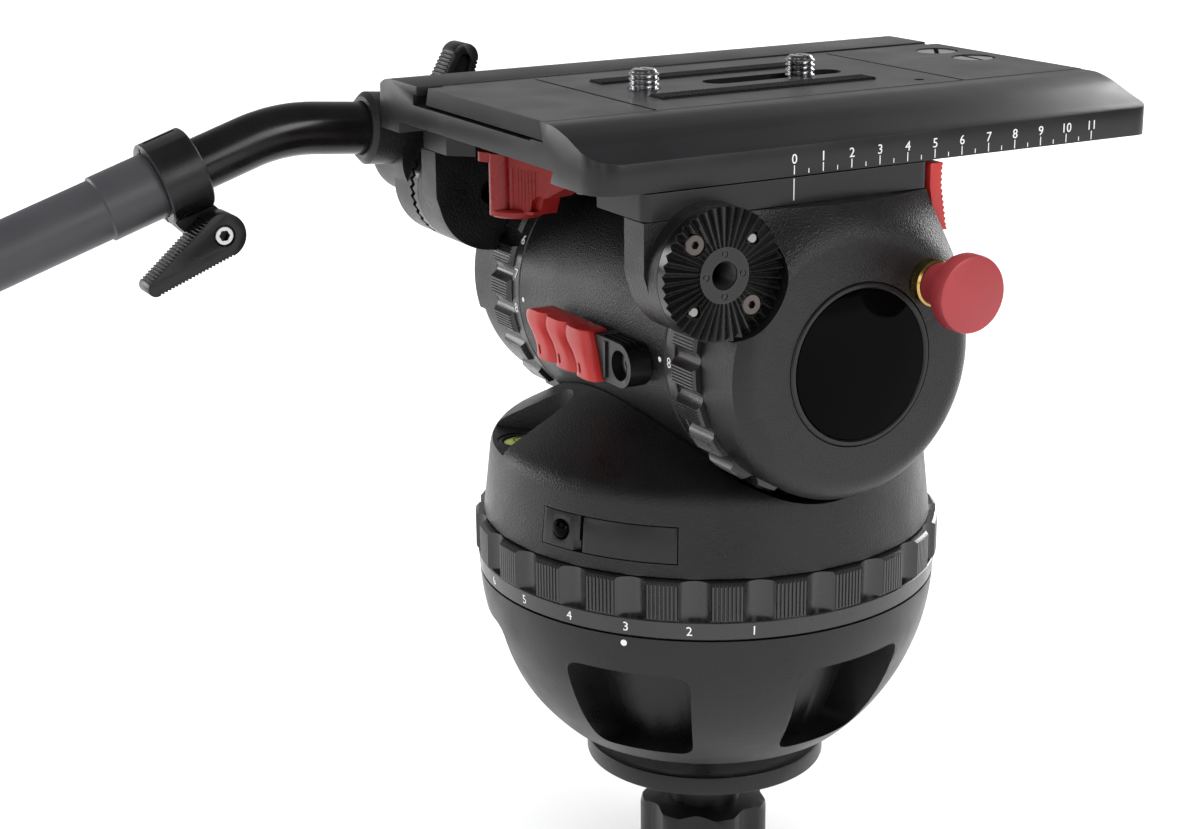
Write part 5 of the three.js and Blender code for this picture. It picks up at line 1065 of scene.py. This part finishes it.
# Rear release lever: a round post, a fluted wall towards the pivot and a thumb arch above the foot
def make_rear_lever():
    low, foot_top, boss_bottom, arm_bottom, top = 116, 118.5, 127.5, 131.6, 135.6
    boss, foot_at = Vector(REAR_PIN), Vector((-60, 15, 0))
    far_end, post_at = Vector((-59.5, 12, 0)), Vector((-64.8, 15.7, 0))
    along_wall = (boss - far_end).normalized()
    outward = Vector((along_wall.y, -along_wall.x, 0))
    arm_end = circle(*foot_at.xy, 5.4, 64)
    arm = prism(hull(circle(*boss.xy, 5.4, 64) + arm_end), "z", arm_bottom, top)
    lobe = prism(hull(arm_end + circle(-66.5, 20.5, 3.6, 64)), "z", arm_bottom + 1, top)
    side = [(15, foot_top - 1), (15, arm_bottom + 0.3), (-14, arm_bottom + 0.3), (-14, boss_bottom)]
    side += [(-9, boss_bottom), (-2.5, 123.8), (2, 122.5), (3.5, foot_top - 1)]
    wall = prism(hull(circle(*boss.xy, 3.4, 48) + circle(*far_end.xy, 4.2, 48)), "z", low, top)
    wall = common(prism(side, "x", -70, -40), wall)
    web = prism(hull(circle(*post_at.xy, 2.4, 32) + circle(*far_end.xy, 3.6, 48)), "z", low + 0.3, top)
    post = disc(4, "z", low + 0.3, top, 96, post_at)
    hub = disc(5.4, "z", boss_bottom, top, 64, boss)
    core = disc(4.6, "z", low + 1, top, 64, foot_at)
    foot = disc(8.7, "z", low, foot_top, 96, foot_at, 0.6)
    half, rise = 4.2, 5.2
    arch = [(half * k / 12, foot_top + rise * sqrt(1 - (k / 12) ** 2)) for k in range(-12, 13)]
    place = far_end + along_wall * 10.5 + outward * 4
    arch = moved(prism(arch, "x", -2.4, 6), shift(place) @ spin("Z", 200))
    body = joined(arm, lobe, wall, web, post, hub, core, foot)
    body = softened(cut(body, arch), 0.5, 3)
    tools = [disc(3.9, "z", 110, 140, 32, boss)]
    for reach in (2.6 + 1.35 * k for k in range(6)):
        spot = far_end + along_wall * reach + outward * (4.4 - 0.029 * reach)
        tools.append(disc(0.62, "z", foot_top, arm_bottom - 0.4, 16, spot))
    return cut(body, *tools)


# The rear lever gets the red plastic darkened with painted shade
piece("rear_lever_body", make_rear_lever(), "rear_lever", "red_deep")
pin = [(0, 126.4), (4.4, 126.4), (4.8, 126.8), (4.8, 127.3), (3.5, 127.3), (3.5, 146.4), (0, 146.4)]
piece("rear_pin_body", turned(pin, "z", 48, REAR_PIN), "rear_lever_pin", "dark_steel", bevel=0.1)


# Pan bar: its front run rises towards the rosette, its rear run drops behind the bend
def bar_axis(x):
    return 130.2 + tan(FRONT_RISE) * (ROSETTE_X - x)


BEND = Vector((BAR_BEND_X, BAR_Y, bar_axis(BAR_BEND_X)))
FORWARD = Vector((cos(FRONT_RISE), 0, -sin(FRONT_RISE)))
REARWARD = Vector((-cos(REAR_DROP), 0, -sin(REAR_DROP)))
DOWN = REARWARD.cross(ACROSS)
SETBACK = BAR_BEND_R * tan((FRONT_RISE + REAR_DROP) / 2)
REAR_FRAME = shift(BEND) @ Matrix((ACROSS, DOWN, REARWARD)).transposed().to_4x4()


def make_bar_tube():
    curve = bend(BEND + FORWARD * SETBACK, BEND, BEND + REARWARD * SETBACK, 24)
    first, last = BEND + FORWARD * ((-22 - BAR_BEND_X) / FORWARD.x), BEND + REARWARD * 181
    outer = tube([first, *curve, last], BAR_R, 64)
    inner = tube([first + FORWARD * 2, *curve, last + REARWARD * 2], BAR_R - 1.6, 64)
    return cut(outer, inner)


piece("bar_tube_body", make_bar_tube(), "bar_tube", "tube", bevel=0.3)


def along_bar(profile):
    return moved(turned(profile, "z", 96), REAR_FRAME)


def make_clamp():
    teeth = tooth_ring(86.3, 82.4, 1)
    hub_disc = ring(4.3, HUB_R, "y", 82.7, 86.3, 64, AT_ROSETTE)
    hub = disc(19.2, "y", 86, 97, 128, AT_ROSETTE)
    rear, length = -76, 57 / FORWARD.x
    sleeve = [(0, 0), (10.6, 0), (12.2, 1.6), (12.2, length - 1.6), (10.6, length), (0, length)]
    place = shift((rear, BAR_Y, bar_axis(rear))) @ Matrix.Rotation(FRONT_RISE, 4, "Y")
    bore = moved(disc(9.1, "x", -5, length + 5, 64), place)
    block = hull(circle(ROSETTE_X - 6, ROSETTE_Z + 8.3, 15, 96) + circle(ROSETTE_X, ROSETTE_Z, 9, 64))
    boss = prism(block, "y", 86, 111.2)
    bolt = disc(4.3, "y", 80, 116, 48, AT_ROSETTE)
    return cut(joined(teeth, hub_disc, hub, moved(turned(sleeve, "x", 96), place), boss), bore, bolt)


piece("bar_clamp_body", make_clamp(), "bar_rosette_clamp", "casting", bevel=0.5)


# Wing levers: a blade from hub to tip, ribbed on both edges and hollow on one face
def wing_outline(length, hub, tip, pitch, depth):
    lean = degrees(asin((hub - tip) / length))
    hub_arc = arc(0, 0, hub, 90 - lean, 270 + lean, 48)
    tip_arc = arc(length, 0, tip, -90 + lean, 90 - lean, 16)

    def edge(start, end):
        points = []
        ribs = round(dist(start, end) / pitch)
        for i in range(ribs):
            for share, inward in ((0.12, 0), (0.5, 0), (0.66, depth), (0.92, depth)):
                s = (i + share) / ribs
                y = start[1] + (end[1] - start[1]) * s
                points.append((start[0] + (end[0] - start[0]) * s, y - copysign(inward, y)))
        return points

    return hub_arc + edge(hub_arc[-1], tip_arc[0]) + tip_arc + edge(tip_arc[-1], hub_arc[0])


def make_wing(length, hub, tip, pitch, blade, hollow):
    pocket = hull(circle(hub * 1.45, 0, hub * 0.58, 48) + circle(length - tip * 0.2, 0, tip * 0.45, 48))
    return cut(prism(wing_outline(length, hub, tip, pitch, 0.4), "y", *blade), prism(pocket, "y", *hollow))


def turned_to(obj, at, turn):
    return moved(obj, shift(at) @ spin("Y", turn))


lever = joined(make_wing(41, 10, 5, 1.4, (111.5, 121), (105, 113.4)), disc(3.9, "y", 73, 112, 48))
piece("clamp_wing", turned_to(lever, AT_ROSETTE, -67.1), "bar_clamp_lever", "plastic", bevel=0.12)

sleeve = [(9.2, 31), (10.6, 31), (11, 31.4), (11, 65), (10.6, 65.2), (10.25, 65.6), (10.25, 281), (9.2, 281)]
piece("bar_sleeve_body", along_bar(sleeve), "bar_sleeve", "matte_tube")

# Collar with its two ears below the bar
COLLAR = BEND + REARWARD * 38.8
PIVOT = BEND + REARWARD * 34.2 + DOWN * 21.1
AT_PIVOT = (PIVOT.x, 0, PIVOT.z)


def make_collar():
    clasp = along_bar([(11.3, 31.3), (13.4, 31.3), (13.9, 31.8), (13.9, 45.8), (13.4, 46.3), (11.3, 46.3)])
    away, low = COLLAR + DOWN * 12.45, COLLAR + DOWN * 33
    ears = prism(hull(circle(PIVOT.x, PIVOT.z, 6.5, 64) + circle(away.x, away.z, 6.5, 64)), "y", 93.9, 104)
    core = along_bar([(0, 26), (11.3, 26), (11.3, 52), (0, 52)])
    slit = prism(hull(circle(low.x, low.z, 15, 32) + circle(COLLAR.x, COLLAR.z, 15, 32)), "y", 97.2, 98.8)
    return cut(joined(clasp, ears), core, slit, disc(3.0, "y", 80, 110, 32, AT_PIVOT))


piece("collar_body", make_collar(), "bar_collar", "plastic", bevel=0.35)
wing = joined(make_wing(28.2, 7.4, 2.6, 1.25, (84, 93.6), (91.7, 100)), disc(2.6, "y", 93, 104, 32))
turned_to(wing, AT_PIVOT, -211.5)
sockets = disc(3.7, "y", 80, 85.4, 48, AT_PIVOT), disc(1.9, "y", 80, 87.4, 32, AT_PIVOT)
piece("collar_wing", cut(wing, *sockets), "collar_lever", "plastic", bevel=0.12)
screw = [(0, 84.2), (2.9, 84.2), (3.4, 84.7), (3.4, 85.4), (0, 85.4)]
screw = socket_screw(screw, "y", AT_PIVOT, 1.9, 82, 87)
piece("collar_screw", screw, "collar_lever", "steel", stands=False, slot="steel")

# Grip with a wide groove every eleventh step, softened by a shallow one on each side
grip = []
for i in range(111):
    share = i / 110
    groove = {0: 0.9, 1: 0.25, 10: 0.25}.get(i % 11, 0)
    grip.append((13.93 + 1.07 * sin(pi * share) - groove, 177 + 112 * share))
grip = [(10.55, 177), *grip, (0, 289), (0, 281.3), (10.55, 281.3)]
piece("bar_grip_body", along_bar(grip), "bar_grip", "rubber")
cap = [(0, 289.3), (15.6, 289.3), (16.2, 289.9), (16.2, 292.8), (14, 295.2), (9.7, 296.3), (0, 296.3)]
piece("bar_cap_body", along_bar(cap), "bar_end_cap", "plastic")

# Tie-down below the ball
stud = [(0, -104), (5.2, -104), (STUD_R, -103)]
for z in (-101 + 1.75 * k for k in range(25)):
    stud += [(STUD_R, z), (5.3, z + 0.5), (STUD_R, z + 1.0)]
piece("stud_thread", turned([*stud, (STUD_R, -36), (0, -36)], "z", 48), "tie_down_stud", "steel", angle=40)
dish = [(DISH_HOLE_R, -80), (15, -80), (40, -72), (40, -66), (37, -66), (15, -74), (DISH_HOLE_R, -74)]
piece("dish_body", turned(dish, "z", 128), "clamp_dish", "casting", bevel=0.6)


def make_knob():
    low, top, r, waves, count = KNOB_BOTTOM, KNOB_TOP, KNOB_R, 7, 210
    lobes = []
    for a in (radians(360 * i / count) for i in range(count)):
        lobes.append(polar(r - 3 * (0.5 - 0.5 * cos(waves * a)), a))
    edge = [(19, 0), (21.2, 0.9), (r, 3)]
    crown = [(0, low), *[(x, low + z) for x, z in edge], *[(x, top - z) for x, z in edge[::-1]], (0, top)]
    body = common(prism(lobes, "z", low, top), turned(crown, "z", 128))
    return cut(joined(body, disc(12, "z", top - 3, -80.3, 96)), disc(DISH_HOLE_R, "z", low + 4, -70, 48))


piece("knob_body", make_knob(), "tie_down_knob", "plastic", bevel=0.4)

# Nodes that keep their CAD shape get a look of their own
for name, obj in frame["nodes"].items():
    if name in DRESSED:
        continue
    look = NODE_SLOT[name] if NODE_SLOT[name] in LOOKS else "dark_steel"
    obj.data.materials.clear()
    obj.data.materials.append(LOOKS[look])


# Floor and light
def make_stage():
    reach = 6000
    floor = solid([(x, y, FLOOR_Z) for x, y in rectangle(-reach, reach, -reach, reach)], [[0, 1, 2, 3]])
    floor.data.transform(Matrix.Scale(MM, 4))
    floor.name = "floor"
    material, shader = node_tree("pale_floor")
    shader.inputs["Base Color"].default_value = (0.9, 0.9, 0.9, 1)
    shader.inputs["Roughness"].default_value = 0.8
    floor.data.materials.append(material)


# A soft box aimed at the head: place and sizes in metres, radiance whatever its size
def area_light(name, place, size, radiance, size_y=None):
    data = bpy.data.lights.new(name, "AREA")
    data.shape = "RECTANGLE"
    data.size = size
    data.size_y = size_y or size
    data.energy = radiance * pi * data.size * data.size_y
    lamp = linked(name, data)
    lamp.location = place
    aim = Vector((0, 0, 0.08)) - Vector(place)
    lamp.rotation_euler = aim.to_track_quat("-Z", "Y").to_euler()


# An even glow from above that lights the floor and shows in no gloss
def make_glow():
    data = bpy.data.lights.new("glow", "SUN")
    data.energy = 3.5
    data.angle = radians(110)
    lamp = linked("glow", data)
    lamp.location = (0, 0, 2)
    lamp.visible_glossy = False


make_stage()
make_glow()
area_light("left_far", (-1.5, 2.2, 0.55), 1.6, 5.5, 0.8)
area_light("left", (-2.4, -0.2, 0.7), 1.0, 2.0)
area_light("right", (2.45, 0.8, 0.7), 1.4, 8.5, 1.1)
area_light("right_front", (0.8, -2.4, 1.2), 1.2, 7.0)
area_light("front", (-1.9, -1.8, 0.8), 1.1, 2.2)


# White where the camera sees it. In reflections a pale band round the far side, dim overhead
def make_world():
    world = bpy.data.worlds.new("studio")
    bpy.context.scene.world = world
    world.use_nodes = True
    tree = world.node_tree
    background = tree.nodes["Background"]
    place = added(tree, "TexCoord")
    toward = added(tree, "VectorMath", {1: BRIGHT_SIDE}, operation="DOT_PRODUCT")
    tree.links.new(place.outputs["Generated"], toward.inputs[0])
    level = ranged(tree, toward.outputs["Value"], -0.2, 0.9, 0.1, 0.5, interpolation_type="SMOOTHSTEP")
    strength = added(tree, "Math", operation="MAXIMUM")
    tree.links.new(level, strength.inputs[0])
    tree.links.new(added(tree, "LightPath").outputs["Is Camera Ray"], strength.inputs[1])
    tree.links.new(strength.outputs[0], background.inputs["Strength"])
    background.inputs["Color"].default_value = (1, 1, 1, 1)


make_world()
# Tones straight from the scene, as a plain studio photograph has them
bpy.context.scene.view_settings.view_transform = "Standard"
